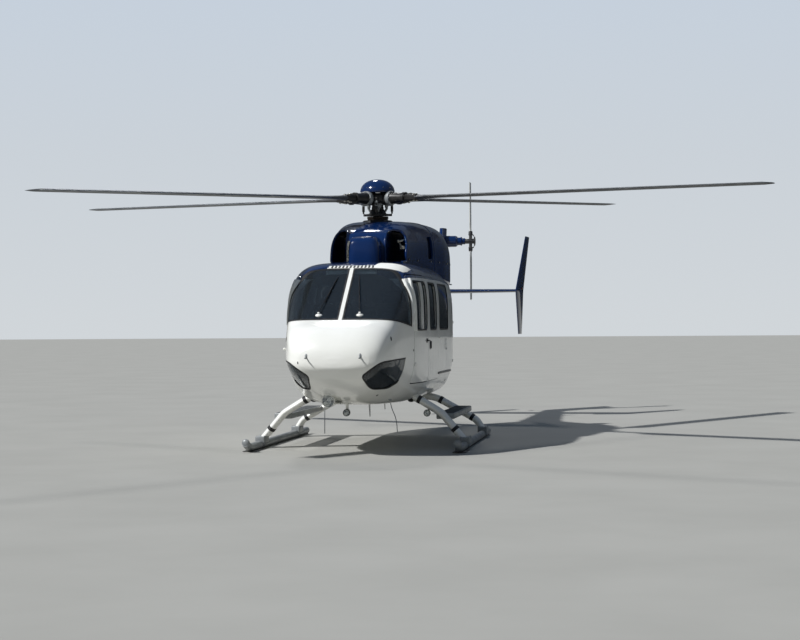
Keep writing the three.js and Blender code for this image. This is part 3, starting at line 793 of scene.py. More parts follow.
@dataclass(frozen=True)
class Livery(Finish):
    """White polyurethane paint below and navy above, parted along a line that sweeps down to the tail.

    Both are sprayed and clear-coated, so they reflect sharply and show a faint orange peel. Places are in
    metres in the frame.
    """

    navy: str = "#0c2958"
    navy_patch: str = "#0b244e"
    post_end: float = -2.86  # how far aft the windscreen's white post reaches
    post_half: float = 0.3
    blur: float = 0.001  # half the width over which one paint gives way to the other
    curve_height: float = 3.0  # the height that the curve's value of 1 stands for
    # The edge's places along the frame and its heights there.
    edge: Outline = (
        (-3.10, 2.0), (-2.95, 2.03), (-2.5, 2.045), (-1.55, 2.05), (-0.6, 2.045), (0.2, 2.0),
        (0.8, 1.90), (1.3, 1.76), (1.75, 1.50), (2.1, 1.2),
    )

    def colours(self, work: Work) -> Socket:
        """Makes white below the edge and on the windscreen's post, and navy above it.

        Args:
            work: The material.

        Returns:
            The colour.
        """
        def step(value: Socket, at: float) -> Socket:
            """Rises from 0 to 1 where a value passes a limit."""
            limits = {"From Min": at - self.blur, "From Max": at + self.blur}
            return node(tree, "MapRange", {"Value": value, **limits})

        tree = work.tree
        white = super().colours(work)
        low, high = self.edge[0][0], self.edge[-1][0]
        x, y, z = node(tree, "SeparateXYZ", {"Vector": work.where}).node.outputs
        along = node(tree, "MapRange", {"Value": y, "From Min": low, "From Max": high})
        share_of_height = node(tree, "FloatCurve", {"Value": along})
        mapping = share_of_height.node.mapping
        mapping.use_clip = False
        points = mapping.curves[0].points
        points[0].location = (0.0, self.edge[0][1] / self.curve_height)
        points[1].location = (1.0, self.edge[-1][1] / self.curve_height)
        for at, height in self.edge[1:-1]:
            points.new((at - low) / (high - low), height / self.curve_height)
        mapping.update()
        edge = node(tree, "Math", {0: share_of_height, 1: self.curve_height}, operation="MULTIPLY")
        above = step(node(tree, "Math", {0: z, 1: edge}, operation="SUBTRACT"), 0.0)
        beside = step(node(tree, "Math", {0: x}, operation="ABSOLUTE"), self.post_half)
        outside = node(tree, "Math", {0: beside, 1: step(y, self.post_end)}, operation="MAXIMUM")
        share = node(tree, "Math", {0: above, 1: outside}, operation="MULTIPLY")
        navy = node(tree, "Mix", {
            0: work.patches(900, (0.35, 0.65)), 6: srgb(self.navy), 7: srgb(self.navy_patch),
        }, 2, data_type="RGBA")
        return node(tree, "Mix", {0: share, 6: white, 7: navy}, 2, data_type="RGBA")


@dataclass(frozen=True)
class Glazing(Finish):
    """Cast acrylic with a tint: smooth, clear and dark, with sharp reflections."""

    def constants(self) -> dict[str, float]:
        """What is the same all over the pane."""
        return {"IOR": 1.49, "Transmission Weight": 0.93}

    def gloss(self, work: Work) -> Socket:
        """Smears of dust that dull it a little."""
        return work.patches(160, (0.45, 0.75), (0.015, 0.07))


@dataclass(frozen=True)
class Weave(Finish):
    """Woven seat cloth: two thread directions that pass over and under each other."""

    thread: float = 2.4

    def constants(self) -> dict[str, float]:
        """What is the same all over the cloth."""
        return {**super().constants(), "Sheen Weight": 0.35}

    def relief(self, work: Work) -> Socket:
        """Makes threads across and along, drawn at twice their real size so that they show.

        Args:
            work: The material.

        Returns:
            The bumped normal.
        """
        across, along = (
            node(work.tree, "TexWave", {
                "Vector": work.where, "Scale": 1000 / self.thread / 20, "Distortion": 0.4, "Detail": 1.0,
            }, "Fac", bands_direction=direction) for direction in "XZ"
        )
        height = node(work.tree, "Math", {0: across, 1: along}, operation="ADD")
        return node(work.tree, "Bump", {"Height": height, "Distance": 0.0012, "Strength": 0.8})


@dataclass(frozen=True)
class HeatedSteel(Finish):
    """Stainless sheet that the exhaust has coloured: brown and blue near its hot end, sooty inside."""

    hot_end: float = 1.1  # where the pipe ends, in metres along the frame
    # The colours from the pipe's cool end to its hot end, by share of its length.
    bands: Sequence[tuple[float, str]] = ((0.35, "#8a7453"), (0.6, "#6b4a3a"), (0.8, "#4a4450"))

    def colours(self, work: Work) -> Socket:
        """Makes bands of heat colour along the pipe, broken by patches.

        Args:
            work: The material.

        Returns:
            The colour.
        """
        tree = work.tree
        base = super().colours(work)
        noise = node(tree, "TexNoise", {
            "Vector": work.where, "Scale": 1000 / 90, "Detail": 4.0, "Roughness": 0.55,
        })
        y = node(tree, "SeparateXYZ", {"Vector": work.where}, "Y")
        wobble = node(tree, "Math", {0: noise, 1: 0.16, 2: y}, operation="MULTIPLY_ADD")
        along = node(tree, "MapRange", {
            "Value": wobble, "From Min": self.hot_end - 0.35, "From Max": self.hot_end + 0.12,
        })
        heat = node(tree, "ValToRGB", {"Fac": along})
        stops = heat.node.color_ramp.elements
        stops[0].color, stops[1].color = srgb(self.colour), srgb("#2b2623")
        for at, colour in self.bands:
            stops.new(at).color = srgb(colour)
        share = work.patches(40, (0.2, 0.8), (0.55, 0.95))
        return node(tree, "Mix", {0: share, 6: base, 7: heat}, 2, data_type="RGBA")


# Sprayed white two-pack paint over composite: glossy, slightly warm, with a film of dust.
WHITE = Finish("white_polyurethane_paint", "#f1f1ec", "#e9e9e2", 700, 0.22, 0.06, 0, 1.6, 0.012, 0.6)
LIVERY = Livery("two_tone_polyurethane_paint", "#f1f1ec", "#e9e9e2", 700, 0.22, 0.06, 0, 1.6, 0.012, 0.6)
# Unpolished white strip over the windscreen, also laid to port ahead of the intake as a painted reflection of
# a pale crescent on the roof.
WHITE_STRIP_AND_PAINTED_REFLECTION = Finish("matt_white_strip", "#ecece6", "#e4e4dd", 300, 0.7, 0.06, 0, 2.0, 0.02)
# The same paint in navy on the cowlings: deep, with sharp reflections of the sky.
NAVY = Finish("navy_polyurethane_paint", "#0c2958", "#0b244e", 900, 0.13, 0.04, 0, 1.6, 0.01, 0.25)
# Satin dark grey paint over the composite blades, rubbed lighter by rain and dust.
BLADE_PAINT = Finish("blade_matt_grey_paint", "#3b3e42", "#4a4d50", 500, 0.5, 0.1, 0, 2.5, 0.05)
# Electroformed nickel strip on the leading edges: dull metal, scratched along the blade.
NICKEL = Finish("nickel_erosion_strip", "#8f9295", "#74777a", 300, 0.38, 0.1, 1.0, 2.0, 0.02)
# Forged titanium of the hub and its bolts, bead-blasted.
TITANIUM = Finish("bead_blasted_titanium", "#6d6c6a", "#57585a", 120, 0.42, 0.1, 1.0, 1.2, 0.02)
# Cadmium-plated and machined steel links, brighter than the hub; on the fairing's starboard edge strip the
# same bright metal is a painted highlight.
BRIGHT_STEEL_AND_PAINTED_HIGHLIGHT = Finish("machined_plated_steel", "#c6c3b8", "#a8a598", 60, 0.27, 0.08, 1.0, 1.0, 0.01)
# Black epoxy on the mast, sleeves and grips, with greasy patches.
BLACK_EPOXY = Finish("black_epoxy_coating", "#17181a", "#22201e", 90, 0.42, 0.15, 0, 2.0, 0.05)
# Grease-browned steel at the foot of the mast.
OILED_STEEL = Finish("oiled_brown_steel", "#3a2f27", "#221d1a", 60, 0.45, 0.12, 0.7, 1.5, 0.04)
# Stainless exhaust, heat-coloured.
EXHAUST = HeatedSteel("heat_stained_stainless_steel", "#8b857c", "#6e675f", 60, 0.35, 0.1, 1.0, 2.0, 0.03)
# Sand-cast aluminium of the gearbox and engines.
CAST = Finish("sand_cast_aluminium", "#8a8c8c", "#6f7172", 90, 0.55, 0.1, 0.8, 1.4, 0.12)
ACRYLIC = Glazing("tinted_cast_acrylic", "#7d8890", "#737f88", 500)
# Extruded rubber round the panes and in the seams.
RUBBER = Finish("black_epdm_rubber", "#101011", "#1a1a1b", 70, 0.62, 0.1, 0, 1.5, 0.05)
# Grey enamel on the skid tubes and steps, worn to metal in patches.
GEAR_GREY = Finish(
    "worn_grey_enamel", "#9a9d9b", "#83878a", 160, 0.42, 0.12, 0.15, 2.2, 0.05, 0, (1, .4, 1), 0.12,
)
# Bare abrasion plates under the skids.
WEAR_PLATE = Finish("scraped_steel_plate", "#6c6a66", "#4c4a47", 50, 0.5, 0.14, 0.9, 1.6, 0.1)
# Anti-slip grit, a worn grey coat with sharp grains of about 0.8 mm, drawn at 3 mm.
GRIT = Finish("anti_slip_grit", "#55585a", "#4a4d4e", 120, 0.85, 0.08, 0, 3.0, 0.9, 0, (1, 1, 1), 0.5)
# Vacuum-formed black trim with a leather grain.
TRIM = Finish("black_moulded_trim", "#1d1e20", "#26272a", 150, 0.62, 0.08, 0, 2.2, 0.25)
# Light grey lining cloth glued to the cabin walls and the roof.
LINING = Finish("grey_cabin_lining", "#8d8f90", "#818385", 260, 0.85, 0.06, 0, 2.6, 0.25)
# Ribbed dark floor mat.
MAT = Finish("ribbed_floor_mat", "#2c2d2f", "#363739", 120, 0.8, 0.08, 0, 4.0, 0.5)
SEAT_CLOTH = Weave("woven_seat_cloth", "#2d3a4a", "#37465a", 180, 0.85, 0.05)
# Polyester webbing of the harnesses.
WEBBING = Weave("polyester_webbing", "#3a3b3a", "#474846", 60, 0.75, 0.05, thread=3.0)
# Polished reflector and the clear lens in front of it.
REFLECTOR = Finish("polished_lamp_reflector", "#e6e6e2", "#dcdcd6", 40, 0.09, 0.03, 1.0)
LENS = Glazing("clear_lamp_lens", "#f4f6f8", "#eef2f5", 100)
RED_LENS = Glazing("red_lamp_lens", "#c01812", "#a5120e", 100)
GREEN_LENS = Glazing("green_lamp_lens", "#0f8f4a", "#0b7a3e", 100)
# Pale dial faces and a slightly glossy dark screen glass.
DIAL = Finish("enamelled_dial", "#d9d9d0", "#c9c9c0", 30, 0.4, 0.05)
SCREEN = Finish("dark_screen_glass", "#0d1a20", "#0a1216", 60, 0.08, 0.02, 0, 1.0, 0, 0.5)
# Woven wire mesh in front of the air intakes.
MESH_WIRE = Finish("blackened_intake_screen", "#26282b", "#35373a", 60, 0.5, 0.1, 0.8, 1.0, 0.05)
# Poured pale concrete with a fine broom texture.
CONCRETE = Finish("pale_poured_concrete", "#a8a7a1", "#a3a29c", 1400, 0.9, 0.04, 0, 9.0, 0.12)


SIDES = (("left", 1), ("right", -1))


def dressed(piece: Object, *finishes: Finish) -> Object:
    """Gives a piece its finishes.

    Args:
        piece: The piece.
        finishes: Its surfaces, in the order of its material slots.

    Returns:
        The same piece.
    """
    piece.data.materials.clear()
    for finish in finishes:
        piece.data.materials.append(finish.build())
    return piece


def lined(piece: Object, hull: Hull) -> Object:
    """Puts a shell's inner faces in its second material slot.

    Args:
        piece: The shell.
        hull: The body whose middle line tells inside from outside.

    Returns:
        The same piece.
    """
    faces = piece.data.polygons
    centre, normal = np.empty(len(faces) * 3), np.empty(len(faces) * 3)
    faces.foreach_get("center", centre)
    faces.foreach_get("normal", normal)
    centre, normal = centre.reshape(-1, 3), normal.reshape(-1, 3)
    station = np.clip(centre[:, 1] / MM + ORIGIN_STATION, hull.rows[0][0], hull.rows[-1][0])
    row = hull.read(station)
    out = centre * (1, 0, 1) - np.stack([row[:, 0] * 0, row[:, 0] * 0, (row[:, 2] + row[:, 3]) / 2 * MM], 1)
    out /= np.maximum(np.linalg.norm(out, axis=1), 1e-6)[:, None]
    inside = (out * normal).sum(1) < -0.25
    faces.foreach_set("material_index", inside.astype(np.int32))
    return piece


def finished(name: str, shape: Object | list[Object], finish: Finish | None, slot: str, *nodes: str,
             body: str = "airframe") -> Object:
    """Makes a shape one of the aircraft's pieces.

    Args:
        name: The piece's name.
        shape: Its mesh, or several that are joined.
        finish: Its surface, or None where it is dressed already.
        slot: The record's material slot; not used.
        nodes: The CAD nodes that it stands for.
        body: The body that it rides on.

    Returns:
        The piece.
    """
    piece = joined(shape) if isinstance(shape, list) else shape
    piece.name = piece.data.name = name
    if finish:
        dressed(piece, finish)
    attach(piece, body)
    if nodes:
        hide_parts(*nodes)
    return piece


def paired(name: str, shape: Object, finish: Finish | None, slot: str, node_name: str = "",
           body: str = "airframe") -> None:
    """Makes a shape to port, and its mirror image to starboard, two of the aircraft's pieces.

    Args:
        name: The pieces' name, without the side.
        shape: The port piece's mesh.
        finish: Their surface, or None where the shape is dressed already.
        slot: The record's material slot.
        node_name: The CAD node that each stands for, without the side.
        body: The airframe, or the body that each rides on, without the side.
    """
    for piece, (side, _) in zip((shape, mirrored(shape)), SIDES):
        nodes = [f"{node_name}_{side}"] if node_name else []
        rider = body if body == "airframe" else f"{side}_{body}"
        finished(f"{name}_{side}", piece, finish, slot, *nodes, body=rider)


@dataclass
class Studio:
    """The floor, the light and the camera."""

    camera_at: tuple[float, float, float] = (3.552, -22.120, 1.504)
    lens: float = 75.0
    heading: float = 8.83  # degrees from +Y towards -X
    pitch: float = -0.13  # degrees down
    roll: float = -0.39
    sky: float = 0.27  # how strongly the sky lights the object
    backdrop: float = 1.05  # how bright it looks behind it
    floor_size: float = 240.0
    # The sky's colours at the horizon, at 0.1 and 0.3 of the way up and overhead: as the object reflects it,
    # and as the camera sees it.
    skies: tuple[tuple[str, str, str, str], ...] = (
        ("#42494f", "#77828d", "#b9c6d6", "#8fb0dc"), ("#ccd1d5", "#c6cdd4", "#bccadb", "#8fb0dc"),
    )
    # Each light's azimuth from the nose towards starboard, elevation, strength and apparent size in degrees.
    lights: tuple[tuple[str, float, float, float, float], ...] = (
        ("key", 50, 42, 4.0, 1.5), ("rim", 165, 45, 0.5, 6),
    )

    def build(self) -> None:
        """Makes the whole studio."""
        self.make_floor()
        self.make_sky()
        for light in self.lights:
            self.make_light(*light)
        self.make_camera()

    def make_floor(self) -> None:
        """Makes a wide pale floor under the skids."""
        bpy.ops.mesh.primitive_grid_add(
            x_subdivisions=8, y_subdivisions=8, size=self.floor_size, location=(0, 40, -0.0005),
        )
        floor = dressed(settled(), CONCRETE)
        floor.name = floor.data.name = "studio_floor"

    def make_sky(self) -> None:
        """Makes a pale sky that is a little bluer overhead, for the gloss to reflect."""
        scene = bpy.context.scene
        scene.world = bpy.data.worlds.new("pale_sky")
        scene.world.use_nodes = True
        tree = scene.world.node_tree
        height = node(tree, "SeparateXYZ", {"Vector": node(tree, "TexCoord", {}, "Generated")}, "Z")
        ramps = []
        for horizon, low, middle, overhead in self.skies:
            ramps.append(node(tree, "ValToRGB", {"Fac": height}))
            stops = ramps[-1].node.color_ramp.elements
            stops[0].color, stops[1].color = srgb(horizon), srgb(overhead)
            stops.new(0.1).color, stops.new(0.3).color = srgb(low), srgb(middle)
        seen = node(tree, "LightPath", {}, "Is Camera Ray")
        background = tree.nodes["Background"]
        colour = node(tree, "Mix", {0: seen, 6: ramps[0], 7: ramps[1]}, 2, data_type="RGBA")
        strength = node(tree, "MapRange", {"Value": seen, "To Min": self.sky, "To Max": self.backdrop})
        tree.links.new(colour, background.inputs["Color"])
        tree.links.new(strength, background.inputs["Strength"])
        scene.view_settings.view_transform = "Standard"

    def make_light(self, name: str, azimuth: float, elevation: float, strength: float, size: float) -> None:
        """Adds a distant soft light, the same all over the floor.

        Args:
            name: The light's name.
            azimuth: Degrees from straight ahead of the nose, towards starboard.
            elevation: Degrees above the floor.
            strength: Its strength.
            size: How wide it looks, in degrees.
        """
        a, e = math.radians(azimuth), math.radians(elevation)
        way = Vector((-math.sin(a) * math.cos(e), -math.cos(a) * math.cos(e), math.sin(e)))
        turn = way.to_track_quat("Z", "Y").to_euler()
        bpy.ops.object.light_add(type="SUN", location=way * 16, rotation=turn)
        light = bpy.context.object
        light.name = light.data.name = f"{name}_light"
        light.data.energy = strength
        light.data.angle = math.radians(size)

    def make_camera(self) -> None:
        """Puts the camera where the photographer stood."""
        h, p, r = (math.radians(v) for v in (self.heading, self.pitch, self.roll))
        forward = Vector((-math.sin(h) * math.cos(p), math.cos(h) * math.cos(p), -math.sin(p)))
        right = Vector((math.cos(h), math.sin(h), 0))
        up = right.cross(forward)
        level = right * math.cos(r) + up * math.sin(r)
        turn = Matrix((level, forward.cross(level) * -1, forward * -1)).transposed()
        bpy.ops.object.camera_add(location=self.camera_at, rotation=turn.to_euler())
        camera = bpy.context.object
        camera.data.lens = self.lens
        camera.data.clip_end = 500
        bpy.context.scene.camera = camera


POD = Hull((
    (-3023, 90, 1100, 1060, 1132, 2.1, 2.1), (-3019, 200, 1101, 1030, 1166, 2.3, 2.2),
    (-3008, 305, 1104, 1006, 1212, 2.5, 2.4), (-2985, 400, 1108, 978, 1268, 2.7, 2.6),
    (-2900, 515, 1122, 896, 1388, 2.7, 3.2), (-2780, 575, 1142, 816, 1480, 2.5, 4.0),
    (-2630, 620, 1165, 745, 1545, 2.4, 4.8), (-2400, 660, 1198, 662, 1720, 2.4, 5.0),
    (-2150, 708, 1220, 602, 1912, 2.6, 5.0), (-1930, 745, 1230, 570, 2080, 3.0, 4.8),
    (-1830, 762, 1240, 560, 2158, 3.2, 4.8), (-1650, 778, 1240, 553, 2215, 3.6, 5.2),
    (-1300, 792, 1240, 550, 2245, 4.4, 5.4), (-800, 800, 1240, 550, 2258, 4.6, 5.4),
    (900, 800, 1240, 550, 2260, 4.4, 5.4), (1300, 790, 1260, 600, 2260, 4.0, 5.0),
    (1650, 755, 1340, 740, 2262, 3.6, 4.4), (2000, 680, 1480, 950, 2265, 3.2, 3.8),
    (2350, 560, 1680, 1250, 2272, 2.8, 3.0), (2680, 410, 1900, 1590, 2285, 2.4, 2.6),
    (2900, 270, 2052, 1815, 2290, 2.0, 2.0),
))
FLOOR = 780.0


@dataclass
class Pod:
    """The hollow body with its doors, panes and seals, all cut from the same skin."""

    thickness: float = 45.0
    door_gap: float = 11.0
    panel_gap: float = 4.0
    nose_back: float = -1990.0
    sill: tuple[float, float] = (1578.0, 1455.0)  # the windscreen's lower edge, ahead and at the nose's back
    door_corner: float = 60.0
    window_corner: float = 70.0
    centre_post: float = 32.0
    screen_edge: Outline = ((-1976, 1880), (-1968, 1950), (-1905, 2040), (-1866, 2090), (-1838, 2128))
    crew_door: Outline = ((-1918, 812), (-1918, 1965), (-1842, 2075), (-1075, 2075), (-1075, 812))
    crew_window: Outline = ((-1850, 1430), (-1850, 1930), (-1795, 2005), (-1165, 2005), (-1165, 1430))
    window_bar: Outline = ((-1515, 1400), (-1515, 2040), (-1405, 2040), (-1405, 1400))
    sliding_door: Outline = ((-1055, 812), (-1055, 2075), (-200, 2075), (-200, 812))
    sliding_window: Outline = ((-960, 1430), (-960, 2005), (-345, 2005), (-345, 1430))
    rear_window: Outline = ((-85, 1430), (-85, 2005), (790, 2005), (790, 1430))
    chin: Outline = ((300, 925), (520, 1078), (742, 1120), (750, 985), (612, 850), (490, 768), (345, 768))
    chin_reach: Limits = (-3100.0, -2230.0)
    post_moulding: Outline = (
        (-2004, 1500), (-1996, 1600), (-1982, 1760), (-1969, 1880), (-1961, 1950), (-1915, 2022),
        (-1903, 2022), (-1938, 1950), (-1940, 1880), (-1952, 1760), (-1966, 1600), (-1972, 1500),
    )
    window_moulding: Outline = (
        (-1888, 1420), (-1888, 1950), (-1828, 2038), (-1812, 2028), (-1864, 1942), (-1864, 1420),
    )
    # The outline's wing to port, from 260 to 655 mm across, is white paint standing in for a reflection on
    # the roof: a painted reflection.
    roof_strip: Outline = (
        (-285, -1828), (500, -1828), (600, -1800), (640, -1730), (655, -1560), (300, -1560), (260, -1750),
        (-285, -1750),
    )
    clam_front: float = 1390.0
    clam_top: float = 1795.0

    def build(self) -> None:
        """Makes the shell, the doors, the panes and their seals."""
        self.make_skin()
        self.make_shell()
        self.make_pillars()
        self.make_doors()
        self.make_panes()
        self.make_seals()
        self.make_roof_strip()
        self.make_mouldings()
        for tool in (self.wall, self.skin):
            bpy.data.objects.remove(tool)

    def layer(self, out: float, inside: float) -> Object:
        """A thin layer of the pod's skin between two depths."""
        skin = POD.body(-3020 + max(0, out), 2900 - max(0, out), out)
        return cut(skin, POD.body(-3020 + inside + 10, 2900 - inside - 10, inside))

    def make_skin(self) -> None:
        """Makes the pod's whole wall, and a thin outer layer for the seals."""
        self.wall = POD.body(bulge=1.5)
        cut(self.wall, POD.body(-2930, -2040, self.thickness))
        cabin = POD.body(-2050, 1340, self.thickness)
        cut(self.wall, cut(cabin, block(ALL, ALL, (FLOOR, FAR)), "INTERSECT"))
        cut(self.wall, POD.body(1330, 2860, self.thickness))
        self.skin = self.layer(-1.5, 7)

    def screen_line(self, drop: float = 0.0) -> Outline:
        """Draws the side-view edge of the windscreen's panes.

        Args:
            drop: How far inside its opening the edge is drawn.

        Returns:
            The outline, which runs on over the roof.
        """
        ahead, behind = (height + 22.0 + drop for height in self.sill)
        back = [(s - drop, z) for s, z in self.screen_edge]
        low = [(-2900, ahead), (self.nose_back - 25 - drop, behind)]
        return [*low, *back, (back[-1][0], 2600), (-2900, 2600)]

    def nose_prism(self, gap: float) -> Object:
        """Makes what covers the nose, ahead of the doors and below the windscreen.

        Args:
            gap: How far beyond the nose's edges it reaches.

        Returns:
            The prism.
        """
        back, ahead, behind = self.nose_back + gap, self.sill[0] + 54 + gap, self.sill[1] + gap
        return prism([(-3300, 300), (-3300, ahead), (back, behind), (back, 300)], Facing.SIDE, -1200, 1200)

    def chin_prism(self, growth: float, side: int = 1, further: float = 0.0) -> Object:
        """Makes what covers a chin window.

        Args:
            growth: How far outside the window's outline its own lies.
            side: 1 for port and -1 for starboard.
            further: How much further aft it reaches.

        Returns:
            The prism.
        """
        line = [(x * side, z) for x, z in grown(rounded(self.chin, 40), growth)]
        return prism(line, Facing.FRONT, self.chin_reach[0], self.chin_reach[1] + further)

    def make_shell(self) -> None:
        """Makes the nose and the fixed body behind it."""
        nose = cut(copied(self.wall), self.nose_prism(0), "INTERSECT")
        body = cut(copied(self.wall), self.nose_prism(0.8))
        for side in (1, -1):
            cut(nose, self.chin_prism(0, side))
            cut(body, prism(self.screen_line(), Facing.SIDE, side * self.centre_post, side * 1200))
        for line, radius, gap in (
            (self.crew_door, self.door_corner, self.door_gap),
            (self.sliding_door, self.door_corner, self.panel_gap), (self.rear_window, self.window_corner, 0),
        ):
            cut(body, both(grown(rounded(line, radius), gap)))
        edge = self.clam_front - self.door_gap + 3
        cut(body, block(ALL, (edge, FAR), (0, self.clam_top + self.door_gap - 1)))
        for name, piece, nodes, finish in (
            ("nose", nose, ["nose_shell"], WHITE),
            ("cabin_body", body, ["floor_and_belly", "cabin_frame", "rear_roof"], LIVERY),
        ):
            dressed(smoothed(piece), finish, LINING)
            finished(name, lined(piece, POD), None, "white_paint", *nodes)

    def make_pillars(self) -> None:
        """Makes the posts inside the seams between the crew doors and the sliding doors."""
        post = cut(POD.body(-1105, -1010, 52), POD.body(-1110, -1005, 85))
        cut(post, block(ALL, ALL, (FLOOR - 5, FAR)), "INTERSECT")
        finished("door_post", smoothed(post), TRIM, "cabin_trim")

    def panel(self, line: Outline, window: Outline) -> Object:
        """Cuts a side door out of the wall, with a hole for its window.

        Args:
            line: The door's outline, with sharp corners.
            window: The hole's outline, the same way.

        Returns:
            The port door.
        """
        door = prism(rounded(line, self.door_corner), Facing.SIDE, *SIDE_DEPTH)
        piece = cut(copied(self.wall), door, "INTERSECT")
        return cut(piece, prism(rounded(window, self.window_corner), Facing.SIDE, 200, 1250))

    def make_doors(self) -> None:
        """Makes the hinged crew doors, the sliding doors and the clamshells."""
        bar = cut(self.layer(0, 16), prism(self.window_bar, Facing.SIDE, *SIDE_DEPTH), "INTERSECT")
        crew = joined([self.panel(self.crew_door, self.crew_window), bar])
        slide = self.panel(self.sliding_door, self.sliding_window)
        rear_part = block((5, 1200), (self.clam_front, FAR), (0, self.clam_top))
        clam = cut(copied(self.wall), rear_part, "INTERSECT")
        for name, piece, node_name, body in (
            ("crew_door_panel", crew, "crew_door", "crew_door"),
            ("sliding_door_panel", slide, "sliding_door", "airframe"),
            ("clamshell_panel", clam, "clamshell_door", "clamshell"),
        ):
            dressed(smoothed(piece), LIVERY, LINING)
            paired(name, lined(piece, POD), None, "white_paint", node_name, body)

    def make_panes(self) -> None:
        """Makes the panes, each a curved sheet 10 mm thick set into its frame."""
        flush, deep = self.layer(4, 14), self.layer(18, 28)
        screen = prism(self.screen_line(-0.4), Facing.SIDE, self.centre_post + 0.4, 1200)
        screen = cut(cut(copied(flush), screen, "INTERSECT"), self.nose_prism(0.4))
        chin = cut(copied(flush), self.chin_prism(-0.4), "INTERSECT")
        panes = [("windscreen", screen, "airframe"), ("chin_window", chin, "airframe")]
        for name, line, source, body in (
            ("cabin_window", self.rear_window, flush, "airframe"),
            ("crew_door_glass", self.crew_window, deep, "crew_door"),
            ("sliding_door_glass", self.sliding_window, deep, "airframe"),
        ):
            hole = prism(grown(rounded(line, self.window_corner), -0.4), Facing.SIDE, *SIDE_DEPTH)
            panes.append((name, cut(copied(source), hole, "INTERSECT"), body))
        for name, pane, body in panes:
            paired(f"{name}_pane", smoothed(pane), ACRYLIC, "tinted_glass", name, body)
        for tool in (flush, deep):
            bpy.data.objects.remove(tool)

    def seal(self, name: str, outer: Object, inner: Object, body: str = "airframe") -> None:
        """Makes a strip of the skin on both sides.

        Args:
            name: The seals' name, without the side.
            outer: What covers the port strip and what lies inside it.
            inner: What covers what lies inside it.
            body: The airframe, or the body that each rides on, without the side.
        """
        strip = cut(cut(copied(self.skin), outer, "INTERSECT"), inner)
        paired(name, smoothed(strip), RUBBER, "dark_metal", body=body)

    def make_seals(self) -> None:
        """Makes the rubber round each pane."""
        for name, line, body in (
            ("cabin_window_seal", self.rear_window, "airframe"),
            ("crew_window_seal", self.crew_window, "crew_door"),
            ("sliding_window_seal", self.sliding_window, "airframe"),
        ):
            edge = rounded(line, self.window_corner)
            outer = prism(grown(edge, 9), Facing.SIDE, *SIDE_DEPTH)
            self.seal(name, outer, prism(grown(edge, -11), Facing.SIDE, 200, 1250), body)
        self.seal("chin_seal", self.chin_prism(8), self.chin_prism(-8, further=30))
        outer = prism(self.screen_line(-9), Facing.SIDE, self.centre_post - 10, 1200)
        inner = prism(self.screen_line(10), Facing.SIDE, self.centre_post + 9, 1250)
        self.seal("windscreen_seal", outer, inner)

    def make_mouldings(self) -> None:
        """Makes the raised frames beside the windscreen and ahead of the crew doors' windows."""
        raised = self.layer(-19, 4)
        for name, line, body in (
            ("screen_post_moulding", self.post_moulding, "airframe"),
            ("crew_window_moulding", self.window_moulding, "crew_door"),
        ):
            bar = cut(copied(raised), prism(line, Facing.SIDE, *SIDE_DEPTH), "INTERSECT")
            paired(name, smoothed(softened(bar, 5)), WHITE, "white_paint", body=body)
        bpy.data.objects.remove(raised)

    def make_roof_strip(self) -> None:
        """Makes the white strip across the roof, between the windscreen and the cowl; its wing to port is a
        painted reflection.
        """
        strip = cut(self.layer(-2.5, 5), prism(self.roof_strip, Facing.TOP, 1900, 2400), "INTERSECT")
        finished("roof_strip", smoothed(strip), WHITE_STRIP_AND_PAINTED_REFLECTION, "white_paint")


COWL = Hull((
    (-930, 385, 2150, 1950, 2500, 3.0, 3.6), (-905, 420, 2150, 1950, 2560, 3.0, 3.8),
    (-840, 448, 2150, 1950, 2625, 3.0, 4.0), (-650, 480, 2150, 1950, 2705, 3.0, 4.2),
    (-420, 502, 2150, 1950, 2765, 3.0, 4.4), (-180, 534, 2150, 1950, 2800, 3.0, 4.4),
    (150, 592, 2150, 1940, 2822, 3.0, 4.6), (520, 662, 2140, 1910, 2832, 3.0, 4.8),
    (1000, 748, 2120, 1880, 2815, 3.0, 5.2), (1400, 752, 2120, 1880, 2740, 3.0, 5.0),
    (1800, 680, 2130, 1900, 2625, 3.0, 4.4), (2200, 510, 2140, 1960, 2490, 3.0, 3.8),
    (2500, 350, 2150, 2000, 2390, 3.0, 3.0), (2750, 235, 2150, 2020, 2310, 3.0, 2.6),
))
FAIRING = Hull((
    (-1180, 140, 2150, 1950, 2440, 3.0, 4.0), (-1162, 178, 2150, 1950, 2510, 3.0, 4.4),
    (-1110, 200, 2150, 1950, 2556, 3.0, 4.8), (-1000, 208, 2150, 1950, 2578, 3.0, 5.0),
    (-700, 215, 2150, 1950, 2600, 3.0, 5.0),
))


def ribbon(points: Sequence[Vector], width: Vector, thickness: float) -> Object:
    """Makes a flat strap along places on the drawing.

    Args:
        points: Places in millimetres that the strap's middle follows.
        width: Half the strap's width, as a direction in millimetres.
        thickness: Its thickness in millimetres.

    Returns:
        The closed strap.
    """
    line = np.array([tuple(p) for p in points], float)
    across = np.array(tuple(width), float)
    rings = []
    for place, way in zip(line, np.gradient(line, axis=0)):
        out = np.cross(way, across)
        out *= thickness / 2 / np.linalg.norm(out)
        corners = [across + out * 0.4, across * 0.94 + out, -across * 0.94 + out, -across + out * 0.4]
        rings.append(place + np.array([*corners, *(-c for c in corners)]))
    return loft(rings)


